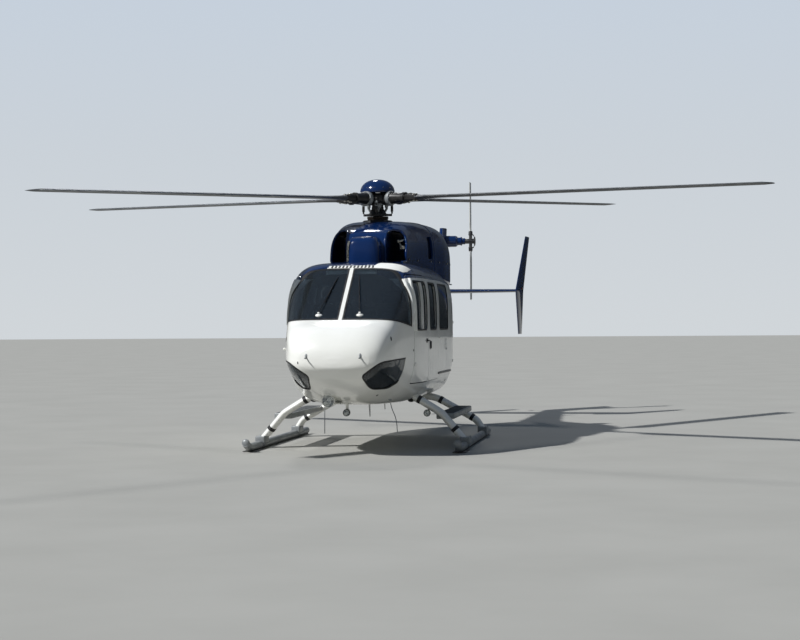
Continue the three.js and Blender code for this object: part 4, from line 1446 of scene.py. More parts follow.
@dataclass
class Cowling:
    """The blue deck above the cabin, with its intakes, exhausts and machinery."""

    split: float = 520.0
    wall: float = 30.0
    duct: Outline = (
        (245, 2262), (245, 2630), (300, 2672), (388, 2660), (444, 2596), (468, 2490), (472, 2262),
    )
    starboard_share: float = 0.93  # the starboard mouth is narrower, with a thicker lip
    duct_back: float = -80.0
    screen_station: float = -150.0
    screen_wire: float = 2.2
    bay_half: float = 222.0
    bay_front: float = -400.0
    bulkhead: float = -50.0
    side_inlet: Outline = ((270, 2340), (270, 2620), (460, 2640), (460, 2340))
    slats: int = 9
    slat_lean: float = 35.0
    mast_hole: float = 170.0
    pipe_from: tuple[float, float, float] = (390, 1560, 2440)
    pipe_to: tuple[float, float, float] = (530, 2150, 2530)
    pipe_radius: float = 115.0
    latch_stations: Sequence[float] = (-560, -140, 380, 700, 1150, 1600, 1950)
    fairing_edge: Sequence[tuple[float, float, float]] = (
        (176, -1166, 2262), (176, -1166, 2380), (172, -1164, 2450), (160, -1154, 2512),
    )

    def build(self) -> None:
        """Makes the cowls, the intakes' screens and units, and the exhausts."""
        self.make_cowls()
        self.make_intakes()
        self.make_exhausts()
        self.make_trim()
        for name in ("engine_left", "engine_right", "main_gearbox"):
            for place in frame["nodes"][name].material_slots:
                place.material = CAST.build()

    def make_cowls(self) -> None:
        """Cuts both cowls out of one hollow body."""
        shell = COWL.body(bulge=10)
        for side, line in self.mouths().items():
            self.make_rim(side, line, shell)
        for line in self.mouths().values():
            cut(shell, prism(line, Facing.FRONT, -2000, self.duct_back))
        cut(shell, FAIRING.body(bulge=16), "UNION")
        hollow = COWL.body(self.bay_front, 2650, self.wall)
        for limits in ((self.bay_half, FAR), (-FAR, -self.bay_half)):
            cut(hollow, block(limits, (-FAR, self.bulkhead), (0, FAR)))
        for tool in (hollow, POD.body(inset=-0.4), both(rounded(self.side_inlet, 40)),
                     rod(spot(0, 0, 2500), spot(0, 0, 3000), self.mast_hole, sides=64)):
            cut(shell, tool)
        through = [a + (b - a) * 1.3 for a, b in zip(self.pipe_from, self.pipe_to)]
        for _, sign in SIDES:
            start, end = (spot(p[0] * sign, p[1], p[2]) for p in (self.pipe_from, through))
            cut(shell, rod(start, end, self.pipe_radius + 8, sides=64))
        rear = cut(copied(shell), block(ALL, (self.split + 2, FAR), (0, FAR)), "INTERSECT")
        cut(shell, block(ALL, (-FAR, self.split - 2), (0, FAR)), "INTERSECT")
        for piece, name in ((shell, "transmission_cowl"), (rear, "engine_cowl")):
            dressed(smoothed(piece), NAVY, BLACK_EPOXY)
            lined(piece, COWL)
            for face in piece.data.polygons:
                if abs(face.center.x) > 0.4 and face.center.y < spot(0, self.duct_back, 0).y:
                    face.material_index = 0
            finished(f"{name}_skin", piece, None, "blue_paint", name)

    def mouths(self) -> dict[str, Outline]:
        """The outline of each side's intake mouth, as (mm to port, height in mm)."""
        shares = {"left": 1, "right": -self.starboard_share}
        return {side: rounded([(x * share, z) for x, z in self.duct], 30) for side, share in shares.items()}

    def make_rim(self, side: str, line: Outline, skin: Object) -> None:
        """Makes the rolled edge where a duct breaks through the cowl.

        Args:
            side: The side's name.
            line: The mouth's outline.
            skin: The cowl before it is cut.
        """
        places = np.array(line)
        along = np.concatenate([[0], np.cumsum(np.linalg.norm(np.diff(places, axis=0), axis=1))])
        points = []
        for at in np.linspace(0, along[-1], 72):
            x, z = (float(np.interp(at, along, places[:, k])) for k in (0, 1))
            points.append(on_skin(skin, spot(x, -2500, z), AFT).translation)
        finished(f"intake_rim_{side}", sweep(points, 15, 16), NAVY, "blue_paint")

    def make_intakes(self) -> None:
        """Makes the screens in the ducts and in the side inlets, and the cooler unit to port."""
        at = self.screen_station
        for side, sign in SIDES:
            bars = []
            for x in np.linspace(258, 462, 11):
                top = 2656 - max(0, x - 384) * 1.2
                bars.append(rod(spot(sign * x, at, 2275), spot(sign * x, at, top), self.screen_wire, sides=8))
            for z in np.linspace(2285, 2650, 17):
                out = 470 - max(0, z - 2550) * 0.7
                bars.append(rod(spot(sign * 247, at, z), spot(sign * out, at, z), self.screen_wire, sides=8))
            finished(f"intake_screen_{side}", bars, MESH_WIRE, "dark_metal")
            slats = self.louvres((520, 565), (272, 458), (2345, 2630))
            moved(slats, Matrix.Scale(sign, 4, PORT))
            finished(f"side_inlet_slats_{side}", slats, MESH_WIRE, "dark_metal")
        unit = [
            block((372, 462), (-600, -460), (2425, 2475), 8, 3),
            rod(spot(376, -610, 2520), spot(376, -700, 2526), 17, bevel=3),
            rod(spot(430, -600, 2448), spot(430, -680, 2446), 22, bevel=3),
        ]
        for hose in (
            ((359, -660, 2522), (394, -672, 2526), (424, -640, 2540), (442, -540, 2544)),
            ((376, -650, 2515), (396, -660, 2478), (424, -646, 2456), (458, -540, 2470)),
        ):
            unit.append(sweep([spot(*p) for p in hose], 13))
        finished("oil_cooler_unit", unit, BRIGHT_STEEL_AND_PAINTED_HIGHLIGHT, "engine_metal")

    def louvres(self, across: Limits, station: Limits, height: Limits) -> Object:
        """Makes a side inlet's leaning slats, from one that is copied.

        Args:
            across: The slats' limits across.
            station: Their limits along.
            height: Their limits in height, over which they are spread.

        Returns:
            The joined slats.
        """
        pitch = (height[1] - height[0]) / self.slats
        low = height[0] + pitch / 2
        middle = Matrix.Translation(spot(sum(across) / 2, sum(station) / 2, low))
        turn = middle @ Matrix.Rotation(math.radians(self.slat_lean), 4, "Y") @ middle.inverted()
        slats = [moved(block(across, station, (low - 2, low + 2), 1.5), turn)]
        for k in range(1, self.slats):
            slats.append(moved(copied(slats[0]), Matrix.Translation((0, 0, k * pitch * MM))))
        return joined(slats)

    def make_exhausts(self) -> None:
        """Makes both exhaust pipes, hollow with a rolled lip."""
        start, end = spot(*self.pipe_from), spot(*self.pipe_to)
        length, r = (end - start).length / MM, self.pipe_radius
        pipe = turned([
            (0, 60), (r - 12, 60), (r - 10, length - 30), (r - 6, length - 4), (r - 2, length),
            (r, length - 3), (r - 2, length - 30), (r - 2, length * 0.55), (r, length * 0.54),
            (r, length * 0.5), (r - 2, length * 0.49), (r - 3, 0), (0, 0),
        ], start, end - start, 72)
        paired("exhaust_pipe", pipe, EXHAUST, "exhaust_steel", "exhaust")

    def make_trim(self) -> None:
        """Makes the cowl's latches, the mast's collar, the fairing's edge strips (the starboard one bright
        metal as a painted highlight) and the joint band.
        """
        latches = []
        for station in self.latch_stations:
            half = float(COWL.read(np.array([float(station)]))[0, 0])
            for sign in (1, -1):
                across = (sign * half - 4, sign * half + 4)
                latches.append(block(across, (station - 28, station + 28), (2296, 2320), 3, 2))
        finished("cowl_latches", latches, TITANIUM, "dark_metal")
        collar = turned([
            (150, 2828), (178, 2826), (192, 2816), (196, 2800), (170, 2798), (150, 2806),
        ], spot(0, 0, 0), steps=72)
        finished("mast_collar", collar, RUBBER, "dark_metal")
        for side, sign in SIDES:
            line = [Vector((sign * x, s, z)) for x, s, z in self.fairing_edge]
            trim = ribbon(line, Vector((14, sign * 9, 0)), 5)
            # The starboard strip is bright metal as a painted highlight of the sun on the fairing's starboard
            # corner; the port strip is navy like the fairing.
            finish = NAVY if sign > 0 else BRIGHT_STEEL_AND_PAINTED_HIGHLIGHT
            finished(f"fairing_edge_trim_{side}", trim, finish, "rotor_titanium")
        joint = []
        for station, grow in ((505, 0.5), (508, 4), (532, 4), (535, 0.5)):
            half, widest, _, top, _, high = COWL.read(np.array([float(station)]))[0]
            up = quarter(half + grow, top + grow - widest, high, 36)
            loop = np.concatenate([up[:-1], up[::-1] * (-1, 1)])
            joint.append(np.stack([loop[:, 0], np.full(len(loop), station), widest + loop[:, 1]], 1))
        finished("cowl_joint_band", loft(joint), NAVY, "blue_paint")


def wing(sections: Sequence[tuple[float, float, float, float]], along: Vector, up: Vector, origin: Vector,
         shares: int = 26, stations: int = 40, tips: Limits = (0.0, 0.0)) -> Object:
    """Makes a lifting surface through flat sections.

    Args:
        sections: Place along the span, leading edge, trailing edge and thickness.
        along: Which way the span runs.
        up: Which way the thickness runs.
        origin: Where span and chord are measured from.
        shares: How many points one side of a section has.
        stations: How many rings are laid along the span.
        tips: How far each end is rounded out, in millimetres.

    Returns:
        The closed surface.
    """
    table = np.array(sections, float)
    spans = np.unique(np.concatenate([np.linspace(table[0, 0], table[-1, 0], stations), table[:, 0]]))
    share = (np.arange(shares + 1) / shares) ** 1.6
    half = 1.3 * np.sqrt(share) * (1 - share) + 0.06 * share
    half[-1] *= 0.6
    loop_share = np.concatenate([share, share[-1:0:-1]])
    loop_half = np.concatenate([half, -half[-1:0:-1]])
    rows = [(span, *(np.interp(span, table[:, 0], table[:, k]) for k in (1, 2, 3))) for span in spans]
    for tip, row, front in ((tips[0], rows[0], True), (tips[1], rows[-1], False)):
        if not tip:
            continue
        span, lead, trail, thick = row
        caps = []
        for angle in np.radians((30, 55, 75)):
            shrink, out = math.cos(angle), math.sin(angle) * tip * (-1 if front else 1)
            lost = tip * (1 - shrink)
            caps.append((span + out, lead + lost, trail - 0.6 * lost, thick * shrink))
        rows = caps[::-1] + rows if front else rows + caps
    rings = []
    for span, lead, trail, thick in rows:
        chord = lead + (trail - lead) * loop_share
        places = np.outer(np.full(len(chord), span), along) + np.outer(chord, AFT)
        rings.append(places + np.outer(loop_half * thick, up) + origin)
    return loft(rings)


@dataclass
class Tail:
    """The tailboom and the surfaces on it."""

    boom: Sequence[tuple[float, float, float, float]] = (
        (2900.4, 270, 2052, 237), (3300, 235, 2055, 222), (4600, 190, 2060, 185), (6080, 130, 2068, 145),
    )
    tailplane: Sequence[tuple[float, float, float, float]] = (
        (-1440, 5130, 5570, 46), (0, 5100, 5600, 70), (1440, 5130, 5570, 46),
    )
    tailplane_height: float = 2015.0
    endplate: Sequence[tuple[float, float, float, float]] = (
        (-675, 60, 350, 30), (0, -310, 310, 52), (865, 280, 620, 30),
    )
    endplate_at: tuple[float, float, float] = (1372, 5340, 2015)
    toe: float = 6.0
    cant: float = 3.0
    fin: Sequence[tuple[float, float, float, float]] = (
        (1900, 5780, 6400, 110), (2120, 5640, 6520, 150), (3090, 6400, 6919, 100),
    )
    bumper: Outline = ((6180, 1990), (6260, 1720), (6400, 1600), (6560, 1620))
    gearbox_at: tuple[float, float] = (6520, 2870)
    strap_stations: Sequence[float] = (2960, 3380, 3820, 4260, 4700, 5150, 5560)

    def build(self) -> None:
        """Makes the boom, the tailplane, the endplates, the fin and their fittings."""
        self.make_boom()
        self.make_tailplane()
        self.make_fin()
        self.make_gearbox()

    def make_boom(self) -> None:
        """Makes the boom, with a low cover over the tail rotor's shaft."""
        rows = [(s, half, axis, axis - rise, axis + rise, 2.0, 2.0) for s, half, axis, rise in self.boom]
        boom = Hull(tuple(rows), spacing=60, around=96).body()
        cover = Hull((
            (2905, 60, 2230, 2150, 2292, 2.0, 3.0), (3300, 56, 2220, 2140, 2300, 2.0, 3.0),
            (4600, 50, 2190, 2110, 2266, 2.0, 3.0), (5600, 44, 2170, 2100, 2242, 2.0, 3.0),
            (5740, 30, 2160, 2100, 2200, 2.0, 3.0),
        ), spacing=60, around=48).body()
        cut(boom, cover, "UNION")
        finished("tailboom_skin", smoothed(boom), LIVERY, "blue_paint", "tailboom")
        straps, table = [], np.array(self.boom).T
        for station in self.strap_stations:
            half, axis, rise = (np.interp(station, table[0], row) for row in table[1:])
            rings = []
            for shift, grow in ((-14, 0.2), (-12, 2.2), (12, 2.2), (14, 0.2)):
                turn = np.linspace(0, math.tau, 96, endpoint=False)
                across, up = (half + grow) * np.cos(turn), axis + (rise + grow) * np.sin(turn)
                rings.append(np.stack([across, np.full(96, station + shift), up], 1))
            straps.append(loft(rings))
        finished("boom_joint_straps", straps, LIVERY, "blue_paint")

    def place(self, side: int) -> Matrix:
        """Turns, leans and moves an endplate from the frame's origin to its place.

        Args:
            side: 1 for port and -1 for starboard.

        Returns:
            The whole motion.
        """
        turn = Matrix.Rotation(math.radians(-self.toe), 4, "Z") @ Matrix.Rotation(
            side * math.radians(self.cant), 4, "Y")
        x, station, z = self.endplate_at
        return Matrix.Translation(spot(side * x, station, z)) @ turn

    def make_tailplane(self) -> None:
        """Makes the tailplane and both endplates."""
        plane = wing(self.tailplane, PORT, UP, Vector((0, 0, self.tailplane_height)), stations=30)
        for side, sign in SIDES:
            plate = wing(self.endplate, UP, PORT, ABOUT_ORIGIN, stations=44, tips=(14, 14))
            moved(plate, self.place(sign))
            beyond = pad((0, sign * 400), (-2000, 12000), (-1000, 1000), 0)
            cut(plane, moved(beyond, self.place(sign)))
            finished(f"endplate_skin_{side}", plate, NAVY, "blue_paint", f"endplate_{side}")
        finished("tailplane_skin", smoothed(plane), NAVY, "blue_paint", "tailplane")

    def make_fin(self) -> None:
        """Makes the fin and the bumper under it."""
        fin = wing(self.fin, UP, PORT, Vector(), stations=44)
        cut(fin, rod(spot(-200, *self.gearbox_at), spot(600, *self.gearbox_at), 96, sides=64))
        bumper = sweep([spot(0, *p) for p in self.bumper], 17, 24)
        finished("tail_fin_skin", smoothed(fin), NAVY, "blue_paint", "tail_fin")
        finished("tail_bumper", bumper, NAVY, "blue_paint")

    def make_gearbox(self) -> None:
        """Makes the tail gearbox with its flange, and the tail lamp."""
        station, height = self.gearbox_at
        profile = [
            (0, -110), (70, -110), (88, -98), (95, -80), (95, 120), (92, 128), (92, 214), (82, 238),
            (64, 250), (64, 300), (72, 302), (72, 318), (52, 320), (52, 372), (0, 372),
        ]
        box = turned(profile, spot(0, station, height), PORT)
        finished("tail_gearbox_case", box, NAVY, "blue_paint", "tail_gearbox")
        lamp = ball(spot(0, 6886, 2960), (16, 26, 22), 32)
        finished("tail_lamp", lamp, LENS, "tinted_glass")


@dataclass
class SkidGear:
    """The skid tubes, their cross tubes and the boarding steps."""

    track: float = 1250.0
    radius: float = 46.0
    axis: float = 52.0
    front: float = -1960.0
    rear: float = 1400.0
    legs: Sequence[tuple[str, float, Outline]] = (
        ("front", -1190.0, [(0, 640), (580, 632), (690, 598), (965, 430), (1252, 90)]),
        ("rear", 820.0, [(0, 545), (560, 540), (670, 510), (1165, 235), (1258, 90)]),
    )
    step: tuple[Limits, Limits, Limits] = ((890, 1110), (-1130, 740), (352, 422))

    def build(self) -> None:
        """Makes the whole undercarriage."""
        for name, station, line in self.legs:
            self.make_cross_tube(name, station, line)
        self.make_skids()
        self.make_steps()

    def make_cross_tube(self, name: str, station: float, line: Outline) -> None:
        """Makes a cross tube in its fairing, with dark joints where the fairing is split.

        Args:
            name: Which tube it is.
            station: Where its axis lies.
            line: Its middle line to port, as (mm to port, height in mm).
        """
        points = np.array([(-x, z) for x, z in line[:0:-1]] + list(line), float)
        share = np.concatenate([[0], np.cumsum(np.hypot(*np.diff(points, axis=0).T))])
        wanted = np.linspace(0, share[-1], 121)
        path = np.stack([np.interp(wanted, share, points[:, k]) for k in (0, 1)], 1)
        for _ in range(3):
            path[1:-1] = (path[:-2] + 2 * path[1:-1] + path[2:]) / 4
        run = np.gradient(path, axis=0)
        run /= np.hypot(*run.T)[:, None]
        turn = np.linspace(0, math.tau, 48, endpoint=False)
        rings = []
        for (x, z), (dx, dz) in zip(path, run):
            off = 45 * np.sin(turn)
            rings.append(np.stack([x - dz * off, station + 92 * np.cos(turn), z + dx * off], 1))
        tube = loft(rings)
        cut(tube, block(ALL, ALL, (-FAR, 148)))
        finished(f"cross_tube_fairing_{name}", smoothed(tube), WHITE, "gear_grey", f"cross_tube_{name}")
        bands = []
        for sign in (1, -1):
            for x in (700, 1120):
                near = (sign * x, np.interp(x, *np.array(line).T))
                k = int(np.argmin(np.hypot(*(path - near).T)))
                (x0, z0), (dx, dz) = path[k], run[k]
                rows = []
                for shift, grow in ((-22, 1), (-20, 4), (20, 4), (22, 1)):
                    off = (45 + grow) * np.sin(turn)
                    rows.append(np.stack([
                        x0 + dx * shift - dz * off, station + (92 + grow) * np.cos(turn),
                        z0 + dz * shift + dx * off], 1))
                bands.append(loft(rows))
        finished(f"fairing_clamps_{name}", bands, RUBBER, "dark_metal")

    def make_skids(self) -> None:
        """Makes the skid tubes, their shoes, saddles and bolts."""
        for side, sign in SIDES:
            x = self.track * sign
            toe = [(self.front - 48, 66), (self.front, 42), (self.front + 60, 18), (self.front + 130, 4)]
            points = [spot(x, s, self.axis + z) for s, z in toe]
            points += [spot(x, s, self.axis) for s in (self.front + 210, -1000, 0, 900, self.rear - 8)]
            tube = sweep(points, self.radius, 32)
            cap = ball(spot(x, self.rear - 8, self.axis), (self.radius, 8, self.radius), 32)
            tip = ball(points[0], (self.radius, self.radius * 0.6, self.radius), 32)
            finished(f"skid_tube_{side}", [tube, cap, tip], GEAR_GREY, "gear_grey", f"skid_{side}")
            shoes = [
                block((x - 78, x + 78), (-1858, -1402), (0.5, 8), 2),
                block((x - 30, x + 30), (-1408, self.rear - 24), (0.5, 13), 3),
            ]
            finished(f"skid_wear_plates_{side}", shoes, WEAR_PLATE, "gear_grey")
            saddles = []
            for _, station, _ in self.legs:
                saddles.append(block((x - 60, x + 60), (station - 123, station + 123), (60, 148), 14, 4))
                saddles.append(block((x - 62, x + 62), (station - 124, station + 124), (34, 62), 6, 3))
                for at in (-96, 96):
                    for across in (-46, 46):
                        top = spot(x + across, station + at, 152)
                        saddles.append(rod(spot(x + across, station + at, 140), top, 11, sides=6, bevel=1.5))
            finished(f"skid_saddles_{side}", saddles, GEAR_GREY, "gear_grey")

    def make_steps(self) -> None:
        """Makes the boarding steps, with grit on top and a rolled edge."""
        for side, sign in SIDES:
            across, along, height = self.step
            limits = sorted(sign * v for v in across)
            board = block(limits, along, height, 14, 4)
            finished(f"step_board_{side}", board, GEAR_GREY, "gear_grey", f"boarding_step_{side}")
            inner = (limits[0] + 14, limits[1] - 14)
            grit = block(inner, (along[0] + 20, along[1] - 20), (height[1] - 2, height[1] + 1.5), 1)
            finished(f"step_grit_{side}", grit, GRIT, "gear_grey")


MAST = spot(0, 0, 3110)
TILT = Matrix.Translation(MAST) @ Matrix.Rotation(math.radians(2.5), 4, "X")


def about_mast(angle: float = 0.0) -> Matrix:
    """Moves a piece drawn about the frame's origin to the rotor's centre, turned by degrees."""
    return TILT @ Matrix.Rotation(math.radians(angle), 4, "Z")


@dataclass
class MainRotor:
    """The hingeless hub with its cap and controls, and four blades."""

    first_blade: float = -30.0
    radius: float = 5500.0
    chord: float = 320.0

    def build(self) -> None:
        """Makes the mast, the hub, the controls and the blades."""
        self.make_mast()
        self.make_hub()
        self.make_controls()
        self.make_blades()

    def make_mast(self) -> None:
        """Makes the mast with its collars."""
        profile = [
            (0, -540), (62, -540), (62, -440), (58, -436), (58, -300), (61, -297), (61, -146),
            (74, -142), (77, -138), (77, -112), (73, -108), (73, -62), (0, -62),
        ]
        mast = moved(turned(profile), about_mast())
        finished("mast_tube", mast, BLACK_EPOXY, "dark_metal", "rotor_mast", body="main_rotor")

    def make_hub(self) -> None:
        """Makes the hub, its arms with clamps and bolts, and the domed cap."""
        body = turned([
            (0, -66), (118, -66), (140, -54), (160, -30), (164, -10), (164, 30), (158, 46), (132, 66),
            (0, 68),
        ])
        parts, clamps = [moved(body, about_mast(self.first_blade))], []
        for k in range(4):
            arm = [
                turned([
                    (0, 90), (84, 90), (84, 196), (78, 214), (70, 300), (61, 380), (58, 470), (0, 470),
                ], axis=PORT, steps=48),
                turned([(56, 420), (70, 423), (70, 462), (56, 465)], axis=PORT, steps=48),
                rod(mm(150, 0, 0), mm(150, 122, -5), 24, 19, 24, 3),
                pad((-20, 20), (96, 128), (-24, 14), 6, 3),
            ]
            arm[-1].data.transform(Matrix.Translation((0.15, 0, 0)))
            ring = [(70, 184), (90, 188), (92, 192), (92, 236), (90, 240), (70, 244)]
            clamp = [turned(ring, axis=PORT, steps=48)]
            for angle in range(0, 360, 45):
                y, z = 80 * math.cos(math.radians(angle)), 80 * math.sin(math.radians(angle))
                clamp.append(rod(mm(238, y, z), mm(251, y, z), 8, sides=6, bevel=1))
            turn = about_mast(self.first_blade + 90 * k)
            parts += [moved(piece, turn) for piece in arm]
            clamps += [moved(piece, turn) for piece in clamp]
        finished("hub_forging", parts, BLACK_EPOXY, "rotor_titanium", "rotor_hub", body="main_rotor")
        finished("sleeve_clamps", clamps, GEAR_GREY, "rotor_titanium", body="main_rotor")
        dome = [
            (0, 84), (178, 76), (190, 73), (216, 80), (221, 92), (219, 104), (212, 130), (200, 154),
            (184, 176), (163, 196), (138, 213), (108, 227), (74, 237), (38, 242), (0, 243),
        ]
        cap = moved(turned(dome, steps=96), about_mast())
        finished("hub_cap_dome", cap, NAVY, "blue_paint", "hub_cap", body="main_rotor")
        bolts = []
        for angle in range(0, 360, 30):
            x, y = 203 * math.cos(math.radians(angle)), 203 * math.sin(math.radians(angle))
            bolt = rod(mm(x, y, 132), mm(x * 1.035, y * 1.035, 140), 7, sides=12, bevel=1)
            bolts.append(moved(bolt, about_mast()))
        finished("cap_screws", bolts, BRIGHT_STEEL_AND_PAINTED_HIGHLIGHT, "rotor_titanium", body="main_rotor")

    def make_controls(self) -> None:
        """Makes the swashplate's two rings, its legs, the pitch links and the scissors."""
        fixed = [turned([(72, -262), (134, -262), (136, -259), (136, -235), (134, -232), (72, -232)])]
        for k in range(3):
            a = math.tau * k / 3 + math.pi / 2
            x, y = 118 * math.cos(a), 118 * math.sin(a)
            fixed.append(rod(mm(x, y, -262), mm(x, y, -540), 13, bevel=1))
            fixed.append(rod(mm(x, y, -262), mm(x, y, -300), 15, bevel=2))
            fixed.append(rod(mm(x, y, -300), mm(x, y, -314), 15, sides=6, bevel=1))
        plate = moved(joined(fixed), about_mast())
        finished("swashplate_ring", plate, OILED_STEEL, "rotor_titanium", "swashplate")
        turning = [turned([
            (66, -226), (146, -226), (148, -223), (148, -201), (146, -198), (112, -194), (92, -150),
            (76, -136), (66, -134),
        ])]
        bright = []
        for k in range(4):
            a = math.radians(self.first_blade + 90 * k)
            c, s = math.cos(a), math.sin(a)
            x, y = 150 * c - 105 * s, 150 * s + 105 * c
            turning += [
                rod(mm(x * 0.6, y * 0.6, -212), mm(x, y, -212), 15, bevel=2),
                rod(mm(x, y, -196), mm(x, y, -62), 11, sides=24),
                rod(mm(x, y, -170), mm(x, y, -98), 17, sides=24, bevel=3),
            ]
            bright += [
                rod(mm(x, y, -98), mm(x, y, -86), 18, sides=6, bevel=1),
                ball(mm(x, y, -46), (21, 21, 21), 24),
            ]
            turn = Matrix.Rotation(a + math.radians(45), 4, "Z")
            bracket = [
                pad((92, 134), (-36, 36), (-122, -58), 14, 4),
                rod(mm(113, -50, -78), mm(113, 50, -78), 13, sides=24, bevel=2),
                rod(mm(120, 0, -118), mm(96, 0, -168), 17, 13, 24, 2),
            ]
            bright += [moved(piece, turn) for piece in bracket]
        links = moved(joined(turning), about_mast())
        finished("pitch_link_set", links, BLACK_EPOXY, "rotor_titanium", "pitch_links", body="main_rotor")
        bright = moved(joined(bright), about_mast())
        finished("hub_brackets", bright, GEAR_GREY, "rotor_titanium", body="main_rotor")
        foot = turned([(0, -300), (132, -300), (134, -296), (130, -262), (122, -256), (0, -256)])
        finished("mast_foot", moved(foot, about_mast()), OILED_STEEL, "dark_metal")

    def make_blades(self) -> None:
        """Makes a blade with its root fitting and erosion strip, and copies it."""
        lead, trail = self.chord * 0.25, self.chord * 0.75
        sections = (
            (640, -58, 66, 58), (760, -62, 90, 52), (980, -lead, trail, 40),
            (self.radius - 90, -lead, trail, 32), (self.radius - 6, -lead, trail - 56, 18),
        )
        blade = wing(sections, PORT, UP, ABOUT_ORIGIN, 30, 90, (0, 5))
        blade.data.transform(Matrix.Scale(-1, 4, (0, 1, 0)))
        blade.data.flip_normals()
        dressed(blade, BLADE_PAINT, NICKEL)
        edge = 0.1 * self.chord
        for face in blade.data.polygons:
            x, y, _ = face.center
            if y > (lead - edge) * MM and x > 1.0:
                face.material_index = 1
        root = [
            pad((471, 660), (-52, 52), (-34, 34), 10, 3),
            pad((478, 585), (-44, 44), (-44, 44), 10, 3),
        ]
        metal = []
        for x, y, r, half in ((535, 0, 24, 58), (610, 28, 17, 50), (610, -28, 17, 50)):
            metal.append(rod(mm(x, y, -half), mm(x, y, half), r * 0.72, sides=24, bevel=2))
            for sign in (1, -1):
                low, high = (mm(x, y, sign * (half - inset)) for inset in (14, 3))
                metal.append(rod(low, high, r, sides=6, bevel=2))
        cuff = dressed(joined(root), BLACK_EPOXY)
        pins = dressed(joined(metal), BRIGHT_STEEL_AND_PAINTED_HIGHLIGHT)
        for k in range(4):
            for source, name, slot, nodes in (
                (blade, "blade", "rotor_grey", [f"main_blade_{k + 1}"]),
                (cuff, "blade_root", "dark_metal", []), (pins, "blade_pins", "rotor_titanium", []),
            ):
                made = moved(copied(source), about_mast(self.first_blade + 90 * k))
                finished(f"{name}_{k + 1}", made, None, slot, *nodes, body="main_rotor")
        for source in (blade, cuff, pins):
            bpy.data.objects.remove(source)


@dataclass
class TailRotor:
    """The two-blade teetering tail rotor on the left of the fin."""

    at: tuple[float, float, float] = (465, 6520, 2870)
    radius: float = 978.0

    def build(self) -> None:
        """Makes the hub and both blades."""
        middle = spot(*self.at)
        here = Matrix.Translation(middle)
        hub = [
            turned([(0, -86), (42, -86), (42, 50), (38, 62), (0, 62)], axis=PORT, steps=48),
            turned([(0, 60), (72, 60), (78, 64), (78, 72), (60, 78), (0, 80)], axis=PORT, steps=48),
            pad((-24, 24), (-33, 33), (-164, 164), 9, 3),
        ]
        for sign in (1, -1):
            hub.append(rod(mm(0, 0, sign * 96), mm(0, 0, sign * 170), 36, 30, 32, 4))
            hub.append(rod(mm(8, 0, sign * 110), mm(40, 58, sign * 104), 9, bevel=2))
            hub.append(rod(mm(40, 58, sign * 104), mm(66, 62, sign * 50), 6, bevel=1))
            for y in (-18, 18):
                hub.append(rod(mm(-32, y, sign * 142), mm(32, y, sign * 142), 7, sides=6, bevel=1))
        piece = moved(joined(hub), here)
        finished("tail_rotor_yoke", piece, TITANIUM, "rotor_titanium", "tail_rotor_hub", body="tail_rotor")
        sections = (
            (166, -52, 52, 30), (220, -70, 70, 30), (300, -110, 110, 30), (self.radius - 8, -110, 110, 20),
        )
        for k, turn in enumerate((0, 180)):
            blade = wing(sections, UP, PORT, ABOUT_ORIGIN, 24, 40, (0, 7))
            moved(blade, here @ Matrix.Rotation(math.radians(turn), 4, "X"))
            name = f"tail_blade_skin_{k + 1}"
            finished(name, blade, WHITE, "rotor_grey", f"tail_blade_{k + 1}", body="tail_rotor")


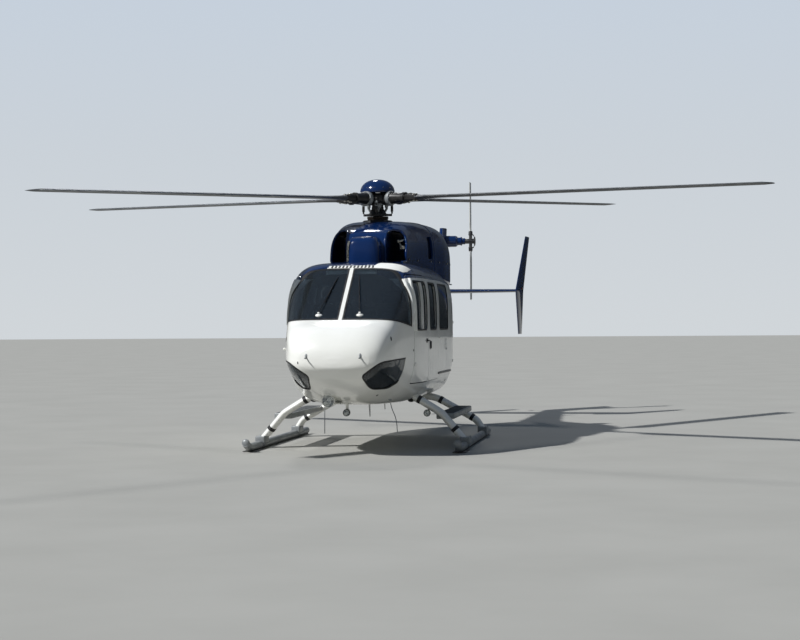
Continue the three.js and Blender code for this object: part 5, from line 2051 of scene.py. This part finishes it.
@dataclass
class Cabin:
    """The seats, the instrument panel, the controls and the floor."""

    seat_width: Limits = (152, 608)
    bench_shift: float = 2080.0
    bench_share: float = 0.92  # how wide a place on the bench is, beside a crew seat
    hood: Outline = (
        (-2380, 1120), (-2420, 1380), (-2300, 1470), (-2090, 1440), (-2110, 1180),
    )
    console: Outline = (
        (-2330, 800), (-2330, 1300), (-2120, 1300), (-1990, 1060), (-1780, 990), (-1780, 800),
    )

    def build(self) -> None:
        """Makes everything inside the cabin."""
        self.make_seats()
        self.make_panel()
        self.make_controls()
        self.make_floor()

    def cushion(self, across: Limits, station: Limits, height: Limits, swell: float,
                seams: Sequence[float]) -> Object:
        """Makes a stuffed cushion that swells between its seams.

        Args:
            across: Its limits across, before it swells.
            station: Its limits along.
            height: Its limits in height.
            swell: How far a point may move out, in millimetres.
            seams: Where its sewn channels run, as shares of its longer direction.

        Returns:
            The cushion.
        """
        piece = block(across, station, height, 26, 4)
        modify(piece, "REMESH", mode="VOXEL", voxel_size=0.011)
        low, high = (np.array(spot(across[k], station[k], height[k])) for k in (0, 1))
        rest = np.empty(len(piece.data.vertices) * 3)
        piece.data.vertices.foreach_get("co", rest)
        rest = rest.reshape(-1, 3)
        modify_cloth(piece)
        now = np.empty_like(rest).ravel()
        piece.data.vertices.foreach_get("co", now)
        move = now.reshape(-1, 3) - rest
        reach = np.linalg.norm(move, axis=1)
        move *= np.minimum(1, swell * MM / np.maximum(reach, 1e-9))[:, None]
        places = rest + move
        axis = 2 if high[2] - low[2] > high[1] - low[1] else 1
        share = (places[:, axis] - low[axis]) / (high[axis] - low[axis])
        side = 1 if axis == 2 else 2
        middle = (low[side] + high[side]) / 2
        front = places[:, side] < middle if axis == 2 else places[:, side] > middle
        for seam in seams:
            near = np.exp(-(((share - seam) * (high[axis] - low[axis]) / 0.011) ** 2))
            places[:, side] += np.where(front, near, 0) * 0.011 * (1 if axis == 2 else -1)
        piece.data.vertices.foreach_set("co", places.astype(np.float32).ravel())
        return smoothed(piece, 180)

    def make_seats(self) -> None:
        """Makes a seat from its cushions and shell, and copies it to every place."""
        x0, x1 = self.seat_width
        middle = (x0 + x1) / 2
        pan = self.cushion((x0 + 12, x1 - 12), (-1745, -1300), (1068, 1140), 14, (0.3, 0.62))
        back = self.cushion((x0 + 16, x1 - 16), (-1290, -1214), (1150, 1700), 14, (0.22, 0.45, 0.68))
        head = self.cushion((middle - 120, middle + 120), (-1252, -1180), (1760, 1900), 10, (0.5,))
        lean = Matrix.Translation(spot(0, -1250, 1150)) @ Matrix.Rotation(math.radians(-9), 4, "X")
        lean = lean @ Matrix.Translation(-spot(0, -1250, 1150))
        moved(back, lean)
        moved(head, Matrix.Translation((0, 0.085, 0)))
        shell = [
            moved(block((x0, x1), (-1214, -1186), (1060, 1760), 12, 3), lean),
            block((x0, x1), (-1758, -1250), (1040, 1068), 12, 3),
            block((x0 + 40, x1 - 40), (-1640, -1310), (1005, 1042), 8, 2),
            block((x0 + 2, x0 + 20), (-1700, -1260), (1050, 1120), 8, 3),
            block((x1 - 20, x1 - 2), (-1700, -1260), (1050, 1120), 8, 3),
        ]
        for x in (x0 + 60, x1 - 60):
            shell.append(block((x - 20, x + 20), (-1680, -1300), (782, 800), 4, 2))
            for station in (-1620, -1340):
                shell.append(rod(spot(x, station, 795), spot(x, station + 30, 1010), 17, bevel=2))
            shell.append(rod(spot(x, -1600, 800), spot(x, -1330, 1000), 12, bevel=2))
        for x in (middle - 60, middle + 60):
            shell.append(rod(spot(x, -1120, 1740), spot(x, -1130, 1800), 7, bevel=1))
        shell = dressed(joined(shell), TRIM)
        straps = []
        for x in (middle - 75, middle + 75):
            line = [Vector((x, s, z)) for s, z in (
                (-1112, 1790), (-1150, 1775), (-1175, 1720), (-1205, 1600), (-1232, 1450), (-1262, 1300),
                (-1300, 1200), (-1352, 1166),
            )]
            straps.append(ribbon(line, Vector((22, 0, 0)), 2.4))
        for x, end in ((x0 + 14, middle - 24), (x1 - 14, middle + 24)):
            line = []
            for t in np.linspace(0, 1, 9):
                line.append(Vector((x + (end - x) * t, -1330 - 90 * t, 1120 + 52 * math.sin(t * 1.9))))
            straps.append(ribbon(line, Vector((0, 22, 6)), 2.4))
        buckle = rod(spot(middle, -1425, 1158), spot(middle, -1425, 1176), 26, 22, bevel=3)
        straps = dressed(joined(straps), WEBBING)
        for piece in (pan, back, head):
            dressed(piece, SEAT_CLOTH)
        dressed(buckle, BRIGHT_STEEL_AND_PAINTED_HIGHLIGHT)
        sources = (
            (pan, "seat_pan"), (back, "seat_back"), (head, "seat_headrest"), (shell, "seat_shell"),
            (straps, "seat_harness"), (buckle, "buckle"),
        )
        places = [("left", Matrix()), ("right", Matrix.Translation(mm(-2 * middle, 0, 0)))]
        narrow = Matrix.Scale(self.bench_share, 4, (1, 0, 0))
        for k, x in enumerate((-424, 0, 424)):
            change = Matrix.Translation(mm(x, self.bench_shift, 0)) @ narrow
            places.append((f"rear_{k + 1}", change @ Matrix.Translation(mm(-middle, 0, 0))))
        for label, change in places:
            for source, name in sources:
                slot, nodes = "seat_fabric", []
                if source is shell:
                    slot = "cabin_trim"
                    nodes = ["passenger_bench" if "rear" in label else f"crew_seat_{label}"]
                made = finished(f"{name}_{label}", moved(copied(source), change), None, slot, *nodes)
        for source, _ in sources:
            bpy.data.objects.remove(source)

    def make_panel(self) -> None:
        """Makes the instrument panel with its hood, screens and dials, and the console."""
        hood = prism(rounded(self.hood, 34), Facing.SIDE, -500, 500)
        hollow = prism([(-2100, 1200), (-2150, 1420), (-2060, 1420), (-2060, 1200)], Facing.SIDE, -470, 470)
        cut(hood, hollow)
        softened(hood, 14, 3)
        console = softened(prism(rounded(self.console, 24), Facing.SIDE, -124, 124), 8, 3)
        finished("instrument_hood", [hood, console], TRIM, "cabin_trim", "instrument_panel")
        slope = Matrix.Translation(spot(0, -2124, 1310)) @ Matrix.Rotation(math.radians(-103), 4, "X")
        screens, dials, rims = [], [], []
        for x in (-330, -120, 120, 330):
            screens.append(moved(pad((x - 82, x + 82), (-62, 70), (-4, 5), 3), slope))
            rims.append(moved(pad((x - 94, x + 94), (-74, 82), (-6, 3), 5), slope))
            for k in range(5):
                knob = rod(mm(x - 64 + k * 32, -68, 3), mm(x - 64 + k * 32, -68, 9), 5, bevel=1)
                rims.append(moved(knob, slope))
        for x in (-225, 0, 225, -440, 440):
            for y in (-34, 40):
                radius = 20 if abs(x) == 440 else 25
                dials.append(moved(rod(mm(x, y, -2), mm(x, y, 4), radius, sides=40), slope))
                ring = turned([(26, -4), (33, -4), (33, 7), (29, 9), (26, 7)], steps=40)
                ring.data.transform(Matrix.Translation(mm(x, y, 0)))
                rims.append(moved(ring, slope))
        finished("panel_screens", screens, SCREEN, "tinted_glass")
        finished("panel_dials", dials, DIAL, "cabin_trim")
        finished("panel_bezels", rims, TRIM, "dark_metal")
        knobs = []
        top = Matrix.Translation(spot(0, -1885, 1029)) @ Matrix.Rotation(math.radians(-18.4), 4, "X")
        for row in range(4):
            knobs.append(moved(pad((-108, 108), (-88 + row * 45, -52 + row * 45), (-4, 5), 2), top))
            for x in (-90, -54, -18, 18, 54, 90):
                base = mm(x, -70 + row * 45, 4)
                knobs.append(moved(rod(base, base + mm(0, 0, 14), 7, 5.5, 20, 1), top))
        finished("console_controls", knobs, TRIM, "cabin_trim")

    def make_controls(self) -> None:
        """Makes the sticks, the levers and the pedals."""
        for side, sign in SIDES:
            x = 380 * sign
            lever = x - sign * 250
            stick = [turned([
                (0, 0), (62, 0), (60, 8), (44, 22), (40, 36), (24, 50), (20, 70), (0, 70),
            ], spot(x, -1900, FLOOR))]
            for radius, line in (
                (11, (
                    (x, -1900, 790), (x, -1895, 950), (x, -1850, 1080), (x, -1830, 1180), (x, -1850, 1240),
                )),
                (19, ((x, -1846, 1225), (x, -1856, 1270), (x, -1862, 1330))),
                (11, ((lever, -1480, 800), (lever, -1620, 960), (lever, -1740, 1050))),
                (19, ((lever, -1700, 1024), (lever, -1800, 1090))),
            ):
                stick.append(sweep([spot(*p) for p in line], radius, 16))
            for shift in (-70, 70):
                stick.append(block((x + shift - 38, x + shift + 38), (-2262, -2238), (880, 1010), 6, 3))
                line = ((-2240, 900), (-2160, 830), (-2100, 790))
                stick.append(sweep([spot(x + shift, *p) for p in line], 9))
            finished(f"flight_controls_{side}", stick, BLACK_EPOXY, "dark_metal")

    def make_floor(self) -> None:
        """Makes the floor mat and the overhead switch panel."""
        mats = [
            block((-560, 560), (-1980, 1300), (FLOOR - 2, FLOOR + 3), 1),
            block((-700, 700), (-1500, 1100), (FLOOR - 2, FLOOR + 3), 1),
        ]
        finished("floor_mat", mats, MAT, "cabin_trim")
        switches = [block((-150, 150), (-1640, -1180), (2140, 2196), 14, 3)]
        for row in range(6):
            for x in (-110, -66, -22, 22, 66, 110):
                place = spot(x, -1600 + row * 70, 2140)
                switches.append(rod(place, place - mm(0, 4, 20), 5, 4, 12, 1))
        finished("overhead_panel", switches, TRIM, "cabin_trim")


def modify_cloth(piece: Object) -> None:
    """Blows a piece up a little as cloth, and applies the result.

    Args:
        piece: The piece.
    """
    alone(piece)
    modifier = piece.modifiers.new("cloth", "CLOTH")
    settings = modifier.settings
    settings.use_pressure = True
    settings.uniform_pressure_force = 4.0
    settings.effector_weights.gravity = 0.0
    settings.quality = 4
    for step in range(1, 21):
        bpy.context.scene.frame_set(step)
    bpy.ops.object.modifier_apply(modifier=modifier.name)
    bpy.context.scene.frame_set(1)


@dataclass
class Fittings:
    """The small things on the skin: probes, wipers, handles, hinges, rails, lamps and antennas."""

    wiper_foot: float = 1612.0
    wiper_tip: float = 2010.0
    nose: Object = field(init=False)
    body: Object = field(init=False)

    def build(self) -> None:
        """Makes all fittings."""
        self.nose, self.body = bpy.data.objects["nose"], bpy.data.objects["cabin_body"]
        self.make_probes()
        self.make_wipers()
        self.make_lamps()
        self.make_antennas()
        self.make_doors()
        self.make_rails()
        self.make_ports()
        self.make_strip_clips()

    def make_probes(self) -> None:
        """Makes the two pitot tubes on the nose and the air probe to starboard."""
        tubes, narrow = [], Matrix.Diagonal((0.45, 1, 1, 1))
        for x in (-308, 300):
            base = at_front(self.nose, x, 1152)
            start = base.translation
            tubes += [
                moved(turned([(0, -3), (30, -3), (29, 4), (16, 8), (0, 9)]), base @ narrow),
                sweep([start + mm(0, *p) for p in ((0, 0), (-20, -14), (-36, -22), (-60, -22))], 8, 16),
                rod(start + mm(0, -56, -22), start + mm(0, -80, -22), 7, 5, 24, 1),
            ]
        finished("pitot_tubes", tubes, GEAR_GREY, "dark_metal")
        base = at_side(self.body, -1, -1955, 1215).translation
        probe = [
            rod(base + mm(4, 0, 0), base + mm(-44, -6, 2), 10, 9, 24, 2),
            ball(base + mm(-48, -8, 2), (16, 26, 16), 24),
        ]
        finished("air_probe", probe, WHITE, "white_paint")

    def make_wipers(self) -> None:
        """Makes the wiper motors' white covers, and the arms and blades on the screen."""
        covers, arms = [], []
        for x, tip_x in ((-258, -150), (214, 120)):
            pane = bpy.data.objects[f"windscreen_pane_{'left' if x > 0 else 'right'}"]
            foot = at_front(pane, x, self.wiper_foot)
            covers += [
                ball(foot.translation + mm(0, 2, -12), (44, 34, 26), 32),
                moved(rod(mm(0, 0, -6), mm(0, 0, 34), 15, 12, 24, 3), foot),
            ]
            for first, last, root_lift, drop, sides in ((0, 1, 30, 16, 12), (0.35, 1.12, 6, 0, 8)):
                line = []
                for share in np.linspace(first, last, 9):
                    rise = (self.wiper_tip - self.wiper_foot) * share
                    place = at_front(pane, x + (tip_x - x) * share, self.wiper_foot + rise)
                    lift = (root_lift - drop * share) * MM
                    line.append(place.translation + place.to_3x3().col[2] * lift)
                arms.append(sweep(line, 4.5, sides))
        finished("wiper_covers", covers, WHITE, "white_paint")
        finished("wiper_arms", arms, BLACK_EPOXY, "dark_metal")

    def lamp(self, name: str, centre: Vector, drop: float, r: float, d: float, finish: Finish,
             *nodes: str) -> None:
        """Makes a round lamp: a housing with a rolled rim, a dished reflector and a lens.

        Args:
            name: The lamp's name.
            centre: Where its lens lies.
            drop: How far its light falls on its way ahead, as a share of that way.
            r: Its radius in millimetres.
            d: Its depth in millimetres.
            finish: The housing's surface.
            nodes: The CAD nodes that the housing stands for.
        """
        way = Vector((0, -1, -drop))
        housing = turned([
            (0, -d), (r * 0.5, -d), (r * 0.82, -d * 0.8), (r, -d * 0.35), (r, -4), (r * 0.99, 0),
            (r * 0.9, 2), (r * 0.88, -2), (r * 0.86, -d * 0.3), (r * 0.6, -d * 0.6), (0, -d * 0.7),
        ], centre, way)
        dish = turned([
            (0, -d * 0.62), (r * 0.3, -d * 0.58), (r * 0.6, -d * 0.42), (r * 0.84, -d * 0.12),
            (r * 0.855, -d * 0.12), (r * 0.62, -d * 0.46), (r * 0.3, -d * 0.63), (0, -d * 0.66),
        ], centre, way)
        lens = turned([
            (0, 5), (r * 0.5, 3.5), (r * 0.88, -2), (r * 0.88, -6), (r * 0.5, -1.5), (0, 0),
        ], centre, way)
        finished(f"{name}_housing", housing, finish, "gear_grey", *nodes)
        finished(f"{name}_reflector", dish, REFLECTOR, "engine_metal")
        finished(f"{name}_lens", lens, LENS, "tinted_glass")

    def make_lamps(self) -> None:
        """Makes the landing light, the search light on its arm, and the small lamp by the port leg."""
        self.lamp("landing_light", spot(-170, -2474, 628), 0.12, 76, 120, WHITE, "landing_light")
        self.lamp("search_light", spot(-30, -2094, 478), 0.06, 42, 92, BLACK_EPOXY, "search_light")
        arm = [
            rod(spot(-30, -2040, 500), spot(-30, -2040, 606), 16, 20, 24, 2),
            block((-54, -6), (-2062, -2018), (500, 516), 4, 2),
            turned([(0, 0), (46, 0), (46, 10), (30, 20), (0, 20)], spot(-30, -2040, 578)),
            block((-150, -60), (-2330, -2050), (588, 604), 5, 2),
        ]
        finished("search_light_arm", arm, WHITE, "dark_metal")
        self.lamp("side_lamp", spot(800, -1292, 432), 0.1, 42, 70, BLACK_EPOXY)
        bracket = sweep([spot(800, -1240, 440), spot(810, -1200, 470), spot(820, -1190, 500)], 10)
        finished("side_lamp_bracket", bracket, BLACK_EPOXY, "dark_metal")
        for side, sign in SIDES:
            place = spot(sign * 1404, 5390, 2052)
            base = rod(place - mm(sign * 26, 0, 0), place, 20, 17, 32, 2)
            finished(f"nav_lamp_base_{side}", base, NAVY, "blue_paint")
            lens = ball(place, (16, 26, 15), 32)
            finished(f"nav_lamp_{side}", lens, RED_LENS if sign > 0 else GREEN_LENS, "tinted_glass")
        beacon = turned([(0, 0), (44, 0), (44, 24), (38, 52), (22, 68), (0, 74)], spot(0, 3700, 2298))
        finished("beacon_lens", beacon, RED_LENS, "tinted_glass")
        seat = turned([(0, -24), (58, -24), (56, -4), (48, 2), (0, 2)], spot(0, 3700, 2298))
        finished("beacon_base", seat, NAVY, "blue_paint")

    def fin_antenna(self, foot: Vector, height: float, chord: float, sweep_back: float) -> Object:
        """Makes a swept blade antenna on a foot.

        Args:
            foot: Where it stands.
            height: Its height in millimetres, negative where it hangs down.
            chord: How long it is at its foot.
            sweep_back: How far aft its tip lies.

        Returns:
            The joined blade and foot.
        """
        lead = -chord / 2 + sweep_back
        sections = [(0, -chord / 2, chord / 2, 16), (abs(height), lead, chord * 0.2 + sweep_back, 8)]
        blade = wing(sections, UP, PORT, ABOUT_ORIGIN, 16, 10, (0, 6))
        if height < 0:
            moved(blade, Matrix.Scale(-1, 4, (0, 0, 1)))
        foot_plate = pad((-22, 22), (-chord / 2 - 14, chord / 2 + 14), (-5, 4), 3)
        return moved(joined([blade, foot_plate]), Matrix.Translation(foot))

    def make_antennas(self) -> None:
        """Makes the rods and blades under the belly, on the roof and on the boom."""
        rods = [
            sweep([spot(-220, -2400, 640), spot(-221, -2404, 560), spot(-222, -2410, 258)], 5),
            turned([(0, 0), (22, 0), (20, -14), (9, -26), (0, -26)], spot(-220, -2400, 665)),
            sweep([
                spot(505, -2200, 600), spot(520, -2200, 540), spot(566, -2204, 420), spot(586, -2208, 262),
            ], 5),
            turned([(0, 0), (22, 0), (20, -14), (9, -26), (0, -26)], spot(500, -2200, 645)),
        ]
        finished("rod_antennas", rods, GEAR_GREY, "dark_metal")
        for name, foot, height, chord, back, finish in (
            ("belly_antenna_front", spot(0, -700, 552), -190, 130, 60, WHITE),
            ("belly_antenna_rear", spot(0, 450, 552), -160, 110, 50, WHITE),
            ("boom_antenna_low", spot(0, 3500, 1838), -220, 120, 70, NAVY),
            ("boom_antenna_top", spot(0, 4350, 2274), 170, 110, 60, NAVY),
        ):
            finished(name, self.fin_antenna(foot, height, chord, back), finish, "blue_paint")
        dome = ball(spot(0, 3120, 2300), (62, 92, 26), 48)
        finished("navigation_dome", dome, WHITE, "white_paint")
        loop = []
        for sign in (1, -1):
            line = ((178, 4800), (330, 4800), (352, 4780), (352, 4520))
            loop.append(sweep([spot(sign * x, s, 2110) for x, s in line], 8, 12))
        finished("boom_whiskers", loop, NAVY, "blue_paint")

    def make_doors(self) -> None:
        """Makes the handles, hinges and grips of the doors."""
        for side, sign in SIDES:
            doors = ("crew_door", "sliding_door", "clamshell")
            crew, slide, clam = (bpy.data.objects[f"{name}_panel_{side}"] for name in doors)
            place = at_side(crew, sign, -1180, 1300)
            bow = ((-46, 2), (-44, 16), (0, 20), (44, 16), (46, 2))
            handle = [
                moved(pad((-62, 62), (-26, 26), (-2, 3), 2), place),
                moved(sweep([mm(x, 0, z) for x, z in bow], 7), place),
            ]
            finished(f"crew_handle_{side}", handle, BLACK_EPOXY, "dark_metal", body=f"{side}_crew_door")
            hinges = []
            for height in (1030, 1560):
                hinges.append(moved(pad((6, 74), (-20, 20), (-1, 9), 4), at_side(crew, sign, -1908, height)))
            finished(f"crew_hinges_{side}", hinges, WHITE, "white_paint", body=f"{side}_crew_door")
            place = at_side(slide, sign, -925, 1245)
            hook = [
                moved(pad((-34, 34), (-52, 52), (-2, 3), 2), place),
                moved(pad((-16, 16), (-44, 44), (0, 15), 6), place),
            ]
            finished(f"sliding_handle_{side}", hook, BLACK_EPOXY, "dark_metal")
            line = ((742, -1760, 1150), (716, -1740, 1160), (712, -1500, 1170), (740, -1480, 1165))
            grip = sweep([spot(sign * x, s, z) for x, s, z in line], 10, 12)
            finished(f"crew_door_grip_{side}", grip, TRIM, "cabin_trim", body=f"{side}_crew_door")
            hinges = []
            for height in (1000, 1520):
                hinges.append(moved(pad((2, 60), (-18, 18), (-1, 10), 4), at_side(clam, sign, 1400, height)))
            finished(f"clamshell_hinges_{side}", hinges, WHITE, "white_paint", body=f"{side}_clamshell")

    def make_rails(self) -> None:
        """Makes the rails that the sliding doors run on."""
        for side, sign in SIDES:
            for name, height, depth, finish in (("upper", 1330, 10, WHITE), ("lower", 880, 12, TITANIUM)):
                points = []
                for station in np.linspace(-150, 1120, 30):
                    place = at_side(self.body, sign, float(station), height)
                    out = place.to_3x3().col[2]
                    middle = place.translation / MM + out * depth * 0.4
                    points.append(middle + ABOUT_ORIGIN)
                rail = ribbon(points, Vector((0, 0, 13)), depth)
                finished(f"door_rail_{name}_{side}", rail, finish, "dark_metal")

    def make_ports(self) -> None:
        """Makes the static ports, vents, fuel filler and fasteners."""
        dark, bright, oval = [], [], Matrix.Diagonal((0.7, 1.35, 1, 1))
        ports = []
        for x, z, r in ((597, 1338, 19), (-597, 1338, 19), (-406, 1078, 11), (367, 690, 15)):
            ports.append((r, at_front(self.nose, x, z) @ oval))
        for sign, station, z, r in (
            (1, -1950, 1196, 14), (1, 620, 1180, 16), (-1, 620, 1180, 16), (1, 700, 760, 18),
        ):
            ports.append((r, at_side(self.body, sign, station, z)))
        for r, place in ports:
            dark.append(moved(turned([(0, 0), (r, 0), (r, 1.5), (r * 0.9, 2.6), (0, 2.6)]), place))
        place = at_side(self.body, 1, 520, 1240)
        bright.append(moved(turned([
            (0, 0), (74, 0), (74, 2), (70, 4.5), (66, 4.5), (64, 3), (20, 3), (18, 7), (0, 7)]), place))
        for angle in range(0, 360, 45):
            offset = mm(68 * math.cos(math.radians(angle)), 68 * math.sin(math.radians(angle)), 4)
            bright.append(moved(rod(offset, offset + mm(0, 0, 2), 4, sides=12), place))
        finished("skin_ports", dark, RUBBER, "dark_metal")
        finished("fuel_filler", bright, WHITE, "white_paint")
        boots = [ball(spot(sign * 596, -1190, 600), (46, 120, 40), 32) for sign in (1, -1)]
        finished("leg_boots", boots, RUBBER, "dark_metal")

    def make_strip_clips(self) -> None:
        """Makes the dark clips that hold the strip over the windscreen."""
        clips = []
        for x in np.linspace(-242, 242, 12):
            place = on_skin(self.body, spot(float(x), -1792, 2600), -UP)
            clips.append(moved(pad((-11, 11), (-34, 34), (-2, 7), 3), place))
        finished("screen_strip_clips", clips, RUBBER, "dark_metal")


def main() -> None:
    """Builds everything in order, and reports each assembly."""
    logging.basicConfig(level=logging.INFO, format="%(message)s")
    for assembly in (
        Studio(), Pod(), Cowling(), Tail(), SkidGear(), MainRotor(), TailRotor(), Cabin(), Fittings(),
    ):
        before = set(bpy.data.objects)
        assembly.build()
        for piece in sorted((o for o in bpy.data.objects if o not in before), key=lambda o: o.name):
            log.info("%s: %s", type(assembly).__name__, piece.name)


if __name__ == "__main__":
    main()
